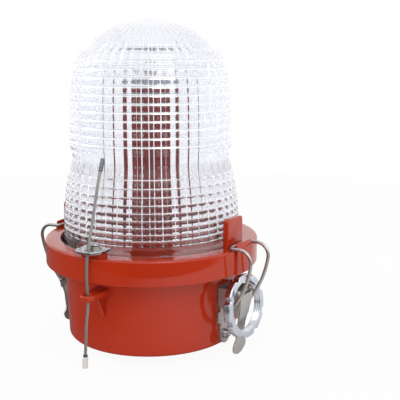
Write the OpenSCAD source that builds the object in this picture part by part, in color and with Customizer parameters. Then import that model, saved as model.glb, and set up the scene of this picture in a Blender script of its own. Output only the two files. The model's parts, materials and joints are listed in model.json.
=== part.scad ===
// Obstruction beacon lamp: a cast housing on a conduit hub, a ribbed glass lens held down by a
// clamp collar with two over-centre latches, a light column inside and a wire-rope tether.
// Origin: centre of the hub's lower face. +Z is up, the right latch lies on +X.

/* [Housing casting] */
// Height of the conduit hub below the floor
hub_h = 7; // [4:0.5:12]
// Radius of the conduit hub
hub_r = 29; // [25:0.5:40]
// Radius of the conduit entry through hub and floor
entry_r = 17.4; // [14:0.1:20]
// Outer radius of the wall at the floor
base_r = 61.2; // [52:0.1:72]
// Widening of the wall from the floor up to the collar
wall_draft = 1.8; // [0.5:0.1:3]
// Rounding of the lower edge
bottom_round = 2.6; // [1:0.1:4]
// Height of the wall from the floor's underside to the collar
wall_h = 53.2; // [50:0.1:60]
// Wall thickness
wall_t = 4; // [3:0.1:5]
// Floor thickness
floor_t = 5; // [4:0.5:7]
// Width of the rim flange outside the wall
flange_w = 8.4; // [7.5:0.1:10]
// Thickness of the rim flange
flange_t = 4; // [3:0.1:4.4]
// Distance of the deck bosses from the inside of the wall
boss_inset = 8; // [7.5:0.1:12]
// Radius of the deck bosses
boss_r = 4.6; // [4:0.1:5.5]

/* [Clamp collar] */
// Gap between the rim flange and the collar's wall
flange_gap = 0.8; // [0.5:0.1:1.5]
// Height of the collar
collar_h = 17.2; // [15:0.1:19]
// Thickness of the collar's wall
collar_wall = 4; // [3:0.1:4.2]
// Thickness of the collar's top
collar_top_t = 3.6; // [3:0.1:4.5]
// Gap between the lens and the edge of the collar's opening
lens_gap = 2.3; // [2:0.1:3]
// Bevel of the collar's edges
collar_bevel = 0.8; // [0.3:0.1:1.5]
// Width of the guard fin behind each latch bar
fin_w = 20; // [16:0.5:24]
// Thickness of the guard fin
fin_t = 4; // [3:0.1:4]
// Height of the guard fin above the collar
fin_h = 20; // [14:0.5:24]
// Rounding of the fin's upper corners
fin_round = 2.4; // [1:0.1:4]
// Width of the latch lug
lug_w = 20; // [14:0.5:21]
// Height of the latch lug above the collar
lug_h = 4.4; // [3:0.1:4.4]
// Distance of the latch pads' faces outside the collar's wall
keeper_out = 1; // [0.8:0.1:1.6]

/* [Glass lens] */
// Gap between the foot's edge and the rim flange's edge
foot_inset = 1.4; // [1:0.1:3]
// Thickness of the foot
foot_t = 3.8; // [3:0.1:5]
// Wall thickness of the glass
glass_t = 4; // [3:0.1:5]
// How far the lower band draws in from its bottom to its top
low_band_in = 4.4; // [2:0.1:6]
// Height of the plain neck below the lower band
neck_h = 15; // [12:0.5:24]
// Height of the lower ribbed band
low_band_h = 43.4; // [30:0.1:46]
// Number of ribs round the lower band
low_ribs = 9; // [4:1:10]
// How far the waist lies inside the bottom of the lower band
waist_in = 7; // [5.5:0.1:9]
// Height of the plain waist
waist_h = 15.6; // [10:0.1:20]
// How far the upper band lies inside the bottom of the lower band
high_band_in = 5.2; // [3:0.1:7]
// Height of the upper ribbed band
high_band_h = 60; // [50:0.5:66]
// Number of ribs round the upper band
high_ribs = 11; // [8:1:14]
// How far the upper band draws in up to the shoulder
shoulder_in = 5.4; // [3:0.1:7]
// Height of the shoulder between the upper band and the crown
shoulder_h = 8; // [5:0.5:12]
// Width of the shoulder's step in to the crown
crown_in = 9.9; // [7:0.1:13]
// Height of the crown
crown_h = 22; // [16:0.5:26]
// Depth of the ribs
rib_depth = 1.2; // [0.6:0.1:2]
// Thickness of the two gaskets
gasket_t = 2; // [1.5:0.1:3]
// Width of the lens gasket's upstand
gasket_lip = 1.6; // [1:0.1:1.8]

/* [Latches] */
// Direction of the left latch from the right one
left_angle = 188; // [172:1:194]
// Distance of the lever's pivot inside the collar's outer wall
pivot_in = 1.5; // [0.8:0.1:1.9]
// Height of the lever's pivot above the floor's underside
pivot_up = 38.2; // [37:0.1:39]
// Distance from the pivot to the bail's holes
throw = 9; // [8:0.1:10]
// Angle by which the bail's holes lie past the dead centre
past_centre = 8; // [5:0.5:12]
// Radius of the lever's and the ears' round ends
lever_end_r = 4.2; // [3.6:0.1:4.2]
// Radius of the pivot pin
pin_r = 2; // [1.5:0.1:2.2]
// Thickness of the latch's sheet metal
sheet_t = 1.2; // [1:0.1:1.4]
// Outer half width of the lever's cheeks
cheek_half = 8; // [7:0.1:8]
// Gap between cheek and ear
ear_gap = 0.4; // [0.3:0.05:0.6]
// Half width of the lever's neck
neck_half = 4.8; // [3.5:0.1:6]
// Radius of the thumb tab's broad end
thumb_r = 8.6; // [6:0.1:9]
// Radius of the thumb tab's tip
thumb_tip_r = 4.4; // [3:0.1:6]
// Height of the thumb tab's tip above the hub's face
thumb_z = 1.2; // [0.8:0.1:4]
// Distance of the bail's bar inside the collar's outer wall
bar_in = 3.75; // [3.6:0.05:3.9]
// Radius of the bail's wire
wire_r = 1.2; // [1:0.05:1.25]
// Distance by which the bail's bow stands out from the locknut
bow_out = 11.5; // [10.5:0.5:18]
// Radius of the bail's bow
bow_r = 8.5; // [7:0.5:10]
// Angle by which the bow turns past straight down
bow_end = 8; // [4:1:14]
// Length over which the leg leaves the bow straight before it curves in
leg_pull = 18; // [12:0.5:22]
// Half width of the bail at its bar
bail_top_half = 12.6; // [12:0.1:15]
// Half width of the bail at the lever
bail_low_half = 11; // [10.8:0.1:11.2]

/* [Conduit locknut] */
// Outer radius of the locknut
nut_r = 22; // [21:0.1:22.4]
// Radius of the locknut's bore
nut_bore_r = 16.5; // [16.5:0.1:17]
// Thickness of the locknut
nut_t = 5.2; // [4:0.1:5.5]
// Number of driving notches
nut_notches = 8; // [6:1:12]
// Radius of a driving notch
notch_r = 2.6; // [2:0.1:3.2]
// Angle by which the hanging locknut leans out
nut_lean = 6; // [5:0.5:8]
// Angle by which the hanging locknut is turned towards the tether
nut_turn = 3; // [0:0.5:8]

/* [Tether] */
// Direction of the tether from the right latch
tether_angle = -86; // [-100:1:-75]
// Radius of the wire rope
rope_r = 1; // [0.8:0.05:1.1]
// Width of the bracket plate
bracket_w = 20; // [16:0.5:24]
// Thickness of the bracket plate
bracket_t = 1.6; // [1.2:0.1:2.4]
// Height of the bracket's boss on the collar
bracket_boss_h = 3.6; // [2.5:0.1:4]
// Radius of the rope's holes in bracket and guide
rope_hole_r = 1.9; // [1.7:0.1:2.3]
// Thickness of the guide web on the housing
guide_t = 4; // [3:0.1:4.4]
// Half width of the guide web at its root
guide_half = 13.5; // [10:0.5:16]
// Radius of the guide web's tip
guide_tip_r = 5; // [4:0.1:6]

/* [Light column] */
// Radius of the column's hexagonal post, corner to axis
post_r = 15.5; // [13:0.1:17]
// Distance from the post's top up to the foot of the crown
post_gap = 24; // [16:1:60]
// Radius of the pedestal below the post
pedestal_r = 27; // [23:0.5:32]
// Height of the pedestal
pedestal_h = 4; // [3:0.5:8]
// Thickness of the light boards
board_t = 1.6; // [1:0.1:2]
// Rows of emitters on each board
emitter_rows = 9; // [5:1:12]
// Width of an emitter
emitter_w = 3.5; // [2:0.1:5]
// Radius of the tie rod through the post
rod_r = 3; // [2:0.1:4]

/* [Electrics] */
// Gap between the deck plate and the lens
deck_gap = 0.8; // [0.5:0.1:2.5]
// Thickness of the deck plate
deck_t = 2; // [1.5:0.1:3]
// Length of the driver board
driver_l = 64; // [56:1:66]
// Width of the driver board
driver_w = 46; // [36:1:48]
// Drop of the driver board below the deck
driver_drop = 18; // [17:0.5:20]
// Height of the terminal block
terminal_h = 15; // [12:0.5:17]
// Depth of the terminal block towards the axis
terminal_w = 16; // [12:0.5:18]
// Gap between the terminal block and the latch's boss behind it
terminal_gap = 5.6; // [2:0.1:7]
// Pitch of the terminals
terminal_pitch = 12; // [9:0.5:12]
// Length and width of the transformer
transformer_l = 20; // [14:1:22]
// Height of the transformer and its neighbours
transformer_h = 11; // [8:0.5:12]
// Radius of the smoothing capacitors
capacitor_r = 4.5; // [3:0.1:5]
// Distance of the ground screw from the lamp's axis
ground_u = 41; // [36:0.5:44]
// Shank radius of the machine screws
screw_r = 1.9; // [1.5:0.1:2]
// Head radius of the machine screws
head_r = 3.6; // [3:0.1:3.8]

/* [Hidden] */
$fn = 64;

// Clearances
slip = 0.1;       // a screw or rope part in its own hole
running = 0.06;   // a pin in the bore that turns on it
clear = 0.3;      // parts of different bodies
pad_in = 2.2;     // the latch flats inside the rim's radius
base_t = 1.6;     // the latch bases' plates
latch_boss_t = 6.2;   // the bosses behind the latch flats, inwards
latch_boss_w = 12;    // the same bosses, sideways
deck_hole_h = 12;     // the deck screws' holes
terminal_hole_h = 6;  // the terminal screws' holes
bar_gap = 0.45;   // the bail's bar over the collar
hang_gap = 0.5;   // the locknut over the latch's ears
eps = 0.01;

// Radii of the housing, the collar and the lens, from the wall outwards and inwards
rim_r = base_r + wall_draft;
inner_r = rim_r - wall_t;
flange_r = rim_r + flange_w;
collar_r = flange_r + flange_gap + collar_wall;
foot_r = flange_r - foot_inset;
low_band_r = rim_r;
collar_hole_r = low_band_r + lens_gap;
low_band_top_r = low_band_r - low_band_in;
waist_r = low_band_r - waist_in;
high_band_r = low_band_r - high_band_in;
shoulder_r = high_band_r - shoulder_in;
crown_r = shoulder_r - crown_in;
boss_ring = inner_r - boss_inset;
deck_r = low_band_r - rib_depth - glass_t - deck_gap;

// Levels of the housing and the clamped stack
cavity_z = hub_h + floor_t;
collar_z = hub_h + wall_h;
collar_top = collar_z + collar_h;
seat_z = collar_top - collar_top_t;
foot_top = seat_z - gasket_t;
foot_z = foot_top - foot_t;
flange_top = foot_z - gasket_t;
flange_z = flange_top - flange_t;
deck_z = flange_top + gasket_t;
deck_top = deck_z + deck_t;
post_z = deck_top + pedestal_h;

// Levels of the lens
low_z = foot_z + neck_h;
waist_z = low_z + low_band_h;
high_z = waist_z + waist_h;
shoulder_z = high_z + high_band_h;
crown_z = shoulder_z + shoulder_h;
crown_top = crown_z + crown_h;
post_h = crown_z - post_gap - post_z;

// Latch pivot, bail holes and bar, in the latch's own plane
pivot_u = collar_r - pivot_in;
pivot_z = hub_h + pivot_up;
hole_u = pivot_u - throw * sin(past_centre);
hole_z = pivot_z - throw * cos(past_centre);
bar_u = collar_r - bar_in;
bar_z = collar_top + bar_gap + wire_r;
fin_u = bar_u - 2.85;
lug_u = bar_u + 3.1;
keeper_u = collar_r + keeper_out;
pad_u = rim_r - pad_in;
base_u = pad_u + base_t;
ear_half = cheek_half + ear_gap + sheet_t;
latch_screw_z = [hub_h + 7, hub_h + 28];
lever_front = pivot_u + lever_end_r;
neck_z = hub_h + 14.5;
neck_u = lever_front - 4.1;
thumb_u = neck_u - 2.4;

// Places of the locknut's hanging edge
hang_u = pivot_u - 1.7;
hang_z = pivot_z + lever_end_r + hang_gap;
bail_reach = hang_u + nut_t + bow_out;
nut_drop = sqrt(pow(nut_bore_r, 2) - pow(ear_half, 2));

// Bracket and guide, in the tether's own plane
bracket_z = collar_top + bracket_boss_h;
bracket_in = collar_hole_r - 0.3;
bracket_screw_u = (collar_hole_r + collar_r) / 2 - 0.75;
bracket_hole_u = collar_r + 1.1;
guide_z = pivot_z + 4.4;
guide_u = collar_r + 2.4;

// The rope's route from the collar's upper edge: distance outwards, sideways, height
tether_route = [for (p = [
    [-17.6, 0, 61.6], [-14.6, 0, 54.1], [-12.0, 0, 47.1], [-9.8, 0, 40.1], [-7.8, 0, 33.1],
    [-5.8, 0, 26.1], [-3.8, 0, 19.6], [-1.8, 0, 13.6], [0.0, 0, 8.1], [1.3, 0, 3.1],
    [2.2, 0, -2.4], [2.8, 0, -8.4], [3.0, 0, -14.4], [2.8, 0, -19.9], [2.4, 0, -25.4],
    [2.6, 0, -30.9], [3.4, 0, -36.4], [4.4, 0, -41.9], [5.2, 0, -47.4], [5.6, 0, -52.4],
    [6.0, 0, -56.9], [6.6, 0, -63.2], [6.75, 0, -64.7], [7.4, 0, -71.4]
]) [collar_r, 0, collar_top] + p];
last = len(tether_route) - 1;
ferrule_len = norm(tether_route[1] - tether_route[0]);
crimp_len = norm(tether_route[last - 1] - tether_route[last - 2]);
sleeve_len = norm(tether_route[last] - tether_route[last - 1]);

painted_red = "#b83a20";
steel = "#9d9890";
zinc = "#b9c2cc";
rubber = "#26262a";
board_red = "#7c1f1c";
cream = "#e6dcc0";
pale = "#dedad2";

// Points of a smooth band: x runs from 0 to 1 over it
function low_crest(x) = low_band_r - (low_band_r - low_band_top_r) * pow(x, 1.6);
function high_crest(x) = high_band_r - (high_band_r - shoulder_r) * pow(x, 5);
function rib(f) = rib_depth * (1 - sin(180 * f));
function waist_bow(x) = 1 - pow(2 * x - 1, 2);
function crown_at(x) = pow(1 - pow(x, 1.5), 1 / 1.5);

// Ribbed outline of the lens, from the foot to the crown
function ribbed(z, h, count, crest) = [
    for (i = [0 : count * 4 - 1])
        let (x = i / (count * 4))
        [crest(x) - rib((i % 4) / 4), z + h * x]
];
lens_outside = concat(
    [[foot_r, foot_z], [foot_r, foot_top], [low_band_r, foot_top]],
    ribbed(low_z, low_band_h, low_ribs, function (x) low_crest(x)),
    [for (i = [0 : 4])
        let (x = i / 5, side = low_band_top_r * (1 - x) + high_band_r * x - rib_depth)
        [side - (side - waist_r) * waist_bow(x), waist_z + waist_h * x]],
    ribbed(high_z, high_band_h, high_ribs, function (x) high_crest(x)),
    [[shoulder_r - rib_depth, shoulder_z], [(shoulder_r + crown_r) / 2, crown_z - 1.2]],
    [for (i = [0 : 11]) [crown_r * crown_at(i / 12), crown_z + crown_h * i / 12]],
    [[0, crown_top]]
);
lens_inside = concat(
    [[0, crown_top - glass_t]],
    [for (i = [11 : -1 : 0])
        [(crown_r - glass_t) * crown_at(i / 12), crown_z + (crown_h - glass_t) * i / 12]],
    [[shoulder_r - rib_depth - glass_t, shoulder_z - glass_t]],
    [for (i = [3 : -1 : 0])
        [high_crest(i / 4) - rib_depth - glass_t, high_z + (high_band_h - 2 * glass_t) * i / 4]],
    [[waist_r - glass_t, waist_z + waist_h / 2]],
    [for (i = [4 : -1 : 0]) [low_crest(i / 4) - rib_depth - glass_t, low_z + low_band_h * i / 4]],
    [[low_band_r - rib_depth - glass_t, foot_z]]
);

// A tube swept along points, one ring of sides at each point, with closed ends
function along(p, i) = p[min(i + 1, len(p) - 1)] - p[max(i - 1, 0)];
function unit(v) = v / norm(v);
function ring(p, i, r, sides, side) =
    let (t = unit(along(p, i)), a = unit(cross(t, side)), b = cross(a, t))
    [for (k = [0 : sides - 1]) p[i] + r * (cos(360 * k / sides) * a + sin(360 * k / sides) * b)];
module tube(p, r, sides = 8, side = [0, 1, 0]) {
    n = len(p);
    rings = [for (i = [0 : n - 1]) each ring(p, i, r, sides, side)];
    walls = [
        for (i = [0 : n - 2])
            for (k = [0 : sides - 1])
                let (a = i * sides + k, b = i * sides + (k + 1) % sides)
                each [[a, b, b + sides], [a, b + sides, a + sides]]
    ];
    first = [for (k = [1 : sides - 2]) [0, k + 1, k]];
    end = [for (k = [1 : sides - 2]) [(n - 1) * sides, (n - 1) * sides + k, (n - 1) * sides + k + 1]];
    polyhedron(rings, concat(walls, first, end));
}

// Places and small shared shapes
module latch_side(side) {
    rotate([0, 0, side > 0 ? 0 : left_angle])
        children();
}
module both_latches() {
    for (side = [1, -1])
        latch_side(side)
            children();
}
module tether_side() {
    rotate([0, 0, tether_angle])
        children();
}
module deck_places() {
    for (a = [45 : 90 : 315])
        rotate([0, 0, a])
            translate([boss_ring, 0, 0])
                children();
}
module across(r, from, to) {
    translate([0, from, 0])
        rotate([-90, 0, 0])
            cylinder(r = r, h = to - from);
}
module plate_across(t0, t1) {
    translate([0, t1, 0])
        rotate([90, 0, 0])
            linear_extrude(t1 - t0)
                children();
}
module plate_outward(u, t) {
    translate([u, 0, 0])
        rotate([90, 0, 90])
            linear_extrude(t)
                children();
}
module pan_screw(length, head_h = 2.4, shank = screw_r, head = head_r) {
    translate([0, 0, -length])
        cylinder(r = shank, h = length + eps);
    difference() {
        cylinder(r = head, h = head_h);
        translate([-head, -0.5, head_h - 0.9])
            cube([2 * head, 1, 2]);
    }
}

// Housing: cup with hub, rim flange, deck bosses, latch flats and the rope guide
module housing_profile() {
    polygon([
        [entry_r, 0], [hub_r, 0], [hub_r, hub_h], [base_r - bottom_round, hub_h],
        [base_r - bottom_round * 0.3, hub_h + bottom_round * 0.3], [base_r, hub_h + bottom_round],
        [rim_r, collar_z], [rim_r, flange_z], [flange_r, flange_z], [flange_r, flange_top],
        [inner_r, flange_top], [inner_r, collar_z], [base_r - wall_t, cavity_z], [entry_r, cavity_z]
    ]);
}
module rope_guide() {
    translate([0, 0, guide_z])
        linear_extrude(guide_t)
            difference() {
                union() {
                    polygon([
                        [base_r - wall_t / 2, -guide_half], [guide_u, -guide_tip_r],
                        [guide_u, guide_tip_r], [base_r - wall_t / 2, guide_half]
                    ]);
                    translate([guide_u, 0])
                        circle(r = guide_tip_r);
                }
                translate([guide_u, 0])
                    circle(r = rope_hole_r);
            }
    plate_across(-1.5, 1.5)
        polygon([
            [base_r - wall_t / 2, guide_z - 18], [base_r + 1, guide_z - 18],
            [guide_u - guide_tip_r - 3, guide_z + eps], [base_r - wall_t / 2, guide_z + eps]
        ]);
}
// A boss inside the wall for the latch's screws, and the flat cut into the wall for its base
module latch_boss() {
    translate([pad_u - latch_boss_t, -latch_boss_w / 2, hub_h + 1])
        cube([latch_boss_t, latch_boss_w, latch_screw_z[1] - hub_h + 5]);
}
module latch_flat() {
    translate([pad_u, -ear_half - 0.4, hub_h - 1])
        cube([2 * wall_t, 2 * ear_half + 0.8, pivot_z + lever_end_r - hub_h + 2]);
}
module housing_casting() {
    color(painted_red)
        difference() {
            union() {
                rotate_extrude($fn = 128)
                    housing_profile();
                deck_places()
                    translate([0, 0, cavity_z - eps])
                        cylinder(r = boss_r, h = deck_z - cavity_z + eps);
                deck_places()
                    translate([0, -1.5, cavity_z - eps])
                        cube([inner_r + 1 - boss_ring, 3, flange_top - cavity_z]);
                both_latches()
                    latch_boss();
                tether_side()
                    rope_guide();
            }
            deck_places()
                translate([0, 0, deck_z - deck_hole_h])
                    cylinder(r = screw_r + slip, h = deck_hole_h + 1);
            both_latches()
                latch_flat();
            both_latches()
                for (z = latch_screw_z)
                    translate([pad_u - 5, 0, z])
                        rotate([0, 90, 0])
                            cylinder(r = screw_r + slip, h = 6);
            ground_place()
                translate([0, 0, -4])
                    cylinder(r = screw_r + slip, h = 5);
        }
}

// Gaskets and lens
module base_gasket() {
    color(rubber)
        rotate_extrude($fn = 128)
            polygon([
                [inner_r + 1, flange_top], [foot_r, flange_top], [foot_r, foot_z], [inner_r + 1, foot_z]
            ]);
}
module glass_lens() {
    color("#eef2f6", 0.45)
        rotate_extrude($fn = 128)
            polygon(concat(lens_outside, lens_inside));
}
module lens_gasket() {
    in_r = low_band_r + clear;
    color(rubber)
        rotate_extrude($fn = 128)
            polygon([
                [in_r, foot_top], [foot_r, foot_top], [foot_r, seat_z], [in_r + gasket_lip, seat_z],
                [in_r + gasket_lip, collar_top - 0.6], [in_r, collar_top - 0.6]
            ]);
}

// Clamp collar with its latch keepers and the bracket's boss
module collar_profile() {
    b = collar_bevel;
    polygon([
        [collar_r - collar_wall, collar_z], [collar_r - b, collar_z], [collar_r, collar_z + b],
        [collar_r, collar_top - b], [collar_r - b, collar_top], [collar_hole_r + b / 2, collar_top],
        [collar_hole_r, collar_top - b / 2], [collar_hole_r, seat_z], [collar_r - collar_wall, seat_z]
    ]);
}
module keeper() {
    plate_outward(fin_u - fin_t, fin_t) {
        translate([-fin_w / 2, collar_top - 1])
            square([fin_w, fin_h - fin_round + 1]);
        translate([-fin_w / 2 + fin_round, collar_top])
            square([fin_w - 2 * fin_round, fin_h]);
        for (y = [-1, 1])
            translate([y * (fin_w / 2 - fin_round), collar_top + fin_h - fin_round])
                circle(r = fin_round);
    }
    plate_across(-lug_w / 2, lug_w / 2)
        polygon([
            [lug_u, collar_top - 2], [lug_u, collar_top + lug_h], [lug_u + 0.7, collar_top + lug_h],
            [keeper_u, collar_top + 0.9], [keeper_u, collar_z + collar_bevel],
            [keeper_u - collar_bevel, collar_z], [collar_r - collar_wall / 2, collar_z],
            [collar_r - collar_wall / 2, collar_top - 2]
        ]);
}
module clamp_collar() {
    color(painted_red)
        difference() {
            union() {
                rotate_extrude($fn = 128)
                    collar_profile();
                both_latches()
                    keeper();
                tether_side()
                    translate([collar_hole_r + 1.2, -bracket_w / 2 + 1.5, collar_top - 1])
                        cube([collar_r - collar_hole_r - 3, bracket_w - 3, bracket_boss_h + 1]);
            }
            tether_side()
                translate([bracket_screw_u, 0, seat_z + 1])
                    cylinder(r = screw_r + slip, h = bracket_boss_h + collar_top_t);
        }
}

// Deck and what stands on it
module deck_plate() {
    color(painted_red)
        difference() {
            translate([0, 0, deck_z])
                cylinder(r = deck_r, h = deck_t, $fn = 128);
            deck_places()
                translate([0, 0, deck_z - 1])
                    cylinder(r = screw_r + slip, h = deck_t + 2);
            translate([0, 0, deck_z - 1])
                cylinder(r = rod_r + slip, h = deck_t + 2);
            lead_hole()
                translate([0, 0, deck_z - 1])
                    cylinder(r = 3, h = deck_t + 2);
            standoff_places()
                translate([0, 0, deck_z - 1])
                    cylinder(r = screw_r + slip, h = deck_t + 2);
        }
}
module deck_screws() {
    color(steel)
        deck_places()
            translate([0, 0, deck_top])
                pan_screw(deck_t + 9);
}
module led_pedestal() {
    color(painted_red)
        difference() {
            translate([0, 0, deck_top])
                rotate_extrude()
                    polygon([
                        [rod_r + slip, 0], [pedestal_r, 0], [pedestal_r, pedestal_h * 0.4],
                        [post_r + 3.5, pedestal_h], [rod_r + slip, pedestal_h]
                    ]);
            lead_hole()
                translate([0, 0, deck_top - 1])
                    cylinder(r = 3, h = pedestal_h + 2);
        }
}
module led_post() {
    color("#8d9096")
        difference() {
            translate([0, 0, post_z])
                cylinder(r = post_r, h = post_h, $fn = 6);
            translate([0, 0, post_z - 1])
                cylinder(r = rod_r + slip, h = post_h + 2);
        }
}
post_flat = post_r * cos(30);
board_w = post_r - 0.8;
board_h = post_h - 3;
module board_faces() {
    for (a = [30 : 60 : 330])
        rotate([0, 0, a])
            translate([post_flat, 0, post_z])
                children();
}
module led_boards() {
    color(board_red)
        board_faces()
            translate([0, -board_w / 2, 0])
                cube([board_t, board_w, board_h]);
}
module led_emitters() {
    step = board_h / emitter_rows;
    color(cream)
        board_faces()
            for (i = [0 : emitter_rows - 1])
                translate([board_t, -emitter_w / 2, step * (i + 0.5) - emitter_w / 2])
                    cube([1.1, emitter_w, emitter_w]);
}
module post_cap() {
    color("#77797d")
        translate([0, 0, post_z + post_h])
            rotate_extrude()
                polygon([
                    [rod_r + slip, 0], [post_r + 3.2, 0], [post_r + 3.2, 2.4], [post_r + 1.4, 4],
                    [rod_r + slip, 4]
                ]);
}
module tie_rod() {
    color(steel) {
        translate([0, 0, deck_z - 3])
            cylinder(r = 2 * rod_r, h = 3, $fn = 6);
        translate([0, 0, deck_z - eps])
            cylinder(r = rod_r, h = post_z + post_h + 13 - deck_z);
    }
}
module tie_nut() {
    color(steel)
        translate([0, 0, post_z + post_h + 4])
            difference() {
                cylinder(r = 2 * rod_r, h = 5, $fn = 6);
                translate([0, 0, -1])
                    cylinder(r = rod_r + slip, h = 7);
            }
}

// Driver below the deck, terminal block and ground screw on the floor
driver_z = deck_z - driver_drop;
terminal_at = [-(pad_u - latch_boss_t - terminal_gap - terminal_w / 2), 0];
terminal_size = [terminal_w, 3.3 * terminal_pitch, terminal_h];
module standoff_places() {
    for (x = [-1, 1], y = [-1, 1])
        translate([x * (driver_l / 2 - 5), y * (driver_w / 2 - 5), 0])
            children();
}
module lead_hole() {
    translate([0, -post_r - 4, 0])
        children();
}
module ground_place() {
    rotate([0, 0, -35])
        translate([ground_u, 0, cavity_z])
            children();
}
module driver_board() {
    color("#2f6b3c")
        difference() {
            translate([-driver_l / 2, -driver_w / 2, driver_z])
                cube([driver_l, driver_w, board_t]);
            standoff_places()
                translate([0, 0, driver_z - 1])
                    cylinder(r = screw_r + slip, h = board_t + 2);
        }
}
module driver_parts() {
    z = driver_z + board_t;
    color("#4a4438") {
        translate([-transformer_l * 0.9, -transformer_l / 2, z])
            cube([transformer_l, transformer_l, transformer_h]);
        for (y = [-1.3, 1.3])
            translate([2.7 * capacitor_r, y * capacitor_r, z])
                cylinder(r = capacitor_r, h = transformer_h);
        translate([4.2 * capacitor_r, -capacitor_r, z])
            cube([2 * capacitor_r, 2 * capacitor_r, transformer_h / 2]);
    }
}
module board_standoffs() {
    color(steel)
        standoff_places() {
            translate([0, 0, driver_z + board_t])
                cylinder(r = 3, h = driver_drop - board_t, $fn = 6);
            translate([0, 0, driver_z - 2])
                cylinder(r = screw_r, h = 2 + board_t + eps);
            translate([0, 0, driver_z - 2])
                cylinder(r = 3, h = 2);
        }
}
module terminal_places() {
    for (y = [-1, 0, 1] * terminal_pitch)
        translate([terminal_at[0], terminal_at[1] + y, cavity_z + terminal_h])
            children();
}
module terminal_block() {
    color(cream)
        difference() {
            translate([terminal_at[0] - terminal_size[0] / 2, terminal_at[1] - terminal_size[1] / 2, cavity_z])
                cube(terminal_size);
            terminal_places()
                translate([0, 0, -terminal_hole_h])
                    cylinder(r = screw_r + slip, h = terminal_hole_h + 1);
        }
}
module terminal_screws() {
    color(steel)
        terminal_places()
            pan_screw(terminal_hole_h - 1, 1.6);
}
module ground_screw() {
    color("#a98a3c")
        ground_place()
            pan_screw(3.5, 3);
}
module driver_leads() {
    color("#1d1d20")
        for (y = [-1, 0, 1] * terminal_pitch)
            tube([
                [terminal_at[0] + terminal_size[0] / 2, y, cavity_z + 8],
                [terminal_at[0] + terminal_size[0] / 2 + 3, y, cavity_z + 8],
                [terminal_at[0] + terminal_size[0] / 2 + 6, y, cavity_z + 10],
                [-driver_l / 2 + 6, y, driver_z - 9],
                [-driver_l / 2 + 7, y, driver_z - 5],
                [-driver_l / 2 + 7, y, driver_z]
            ], 1.1, 8);
}
module led_leads() {
    color("#b02020")
        for (x = [-1.5, 1.5])
            lead_hole()
                tube([
                    [x, 0, driver_z + board_t], [x, 0, deck_z], [x, 0, post_z + 2],
                    [x, 1.2, post_z + 5], [x, 2.6, post_z + 7]
                ], 0.8, 8, [1, 0, 0]);
}

// Tether: bracket on the collar, rope, ferrule, crimp and end sleeve
module tether_bracket() {
    color(steel)
        tether_side()
            translate([0, 0, bracket_z])
                linear_extrude(bracket_t)
                    difference() {
                        union() {
                            translate([bracket_in, -bracket_w / 2])
                                square([bracket_hole_u - bracket_in, bracket_w]);
                            polygon([
                                [bracket_hole_u, -bracket_w / 2], [bracket_hole_u + 5, -bracket_w / 4],
                                [bracket_hole_u + 5, bracket_w / 4], [bracket_hole_u, bracket_w / 2]
                            ]);
                        }
                        translate([bracket_screw_u, 0])
                            circle(r = screw_r + slip);
                        translate([bracket_hole_u, 0])
                            circle(r = rope_hole_r);
                    }
}
module bracket_washer() {
    color(steel)
        tether_side()
            translate([bracket_screw_u, 0, bracket_z + bracket_t])
                difference() {
                    cylinder(r = head_r + 1.2, h = 0.8);
                    translate([0, 0, -1])
                        cylinder(r = screw_r + slip, h = 3);
                }
}
module bracket_screw() {
    color(steel)
        tether_side()
            translate([bracket_screw_u, 0, bracket_z + bracket_t + 0.8])
                pan_screw(bracket_t + 0.8 + bracket_boss_h, 2.6);
}
module tether_cable() {
    color(steel)
        tether_side()
            tube(tether_route, rope_r, 8);
}
// A sleeve round the rope from one point of its route towards another
module rope_sleeve(from, to, r, cap = 0) {
    v = to - from;
    translate(from)
        rotate([0, acos(v[2] / norm(v)), atan2(v[1], v[0])])
            difference() {
                cylinder(r = r, h = norm(v) + cap);
                translate([0, 0, -1])
                    cylinder(r = rope_r + slip, h = norm(v) + 1 + eps);
            }
}
module tether_top_ferrule() {
    color(steel)
        tether_side()
            rope_sleeve(tether_route[1], tether_route[0], 1.5, 0.4);
}
module tether_crimp() {
    color(rubber)
        tether_side()
            rope_sleeve(tether_route[last - 2], tether_route[last - 1], 1.6);
}
module tether_end_sleeve() {
    color(pale)
        tether_side()
            rope_sleeve(tether_route[last - 1], tether_route[last], 1.8, 0.8);
}

// Latch base: plate on the housing with two ears for the lever's pivot
module latch_base() {
    wing_z = hub_h + 20.5;
    color(steel)
        difference() {
            union() {
                plate_outward(pad_u, base_u - pad_u) {
                    translate([-7, latch_screw_z[0]])
                        square([14, pivot_z + lever_end_r - latch_screw_z[0]]);
                    translate([0, latch_screw_z[0]])
                        circle(r = 6.8);
                    translate([-ear_half, wing_z - 4])
                        square([2 * ear_half, 8]);
                    translate([-ear_half, pivot_z - 9])
                        square([2 * ear_half, lever_end_r + 9]);
                }
                for (side = [-1, 1])
                    plate_across(
                        side > 0 ? ear_half - sheet_t : -ear_half,
                        side > 0 ? ear_half : -ear_half + sheet_t
                    ) {
                        polygon([
                            [pad_u + eps, pivot_z - 9], [base_u + 2, pivot_z - 9],
                            [pivot_u, pivot_z - lever_end_r], [pivot_u, pivot_z + lever_end_r],
                            [pad_u + eps, pivot_z + lever_end_r]
                        ]);
                        translate([pivot_u, pivot_z])
                            circle(r = lever_end_r);
                    }
            }
            translate([pivot_u, 0, pivot_z])
                across(pin_r + 0.02, -ear_half - 1, ear_half + 1);
            for (z = latch_screw_z)
                translate([pad_u - 1, 0, z])
                    rotate([0, 90, 0])
                        cylinder(r = screw_r + slip, h = 5);
            translate([pad_u - 1, 0, wing_z - 3])
                rotate([0, 90, 0])
                    cylinder(r = 2.4, h = 5);
        }
}
module latch_base_right() latch_side(1) latch_base();
module latch_base_left() latch_side(-1) latch_base();
module latch_screws() {
    color(steel)
        both_latches()
            for (z = latch_screw_z)
                translate([base_u, 0, z])
                    rotate([0, 90, 0])
                        pan_screw(base_u - pad_u + 4, 2.2);
}
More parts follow.
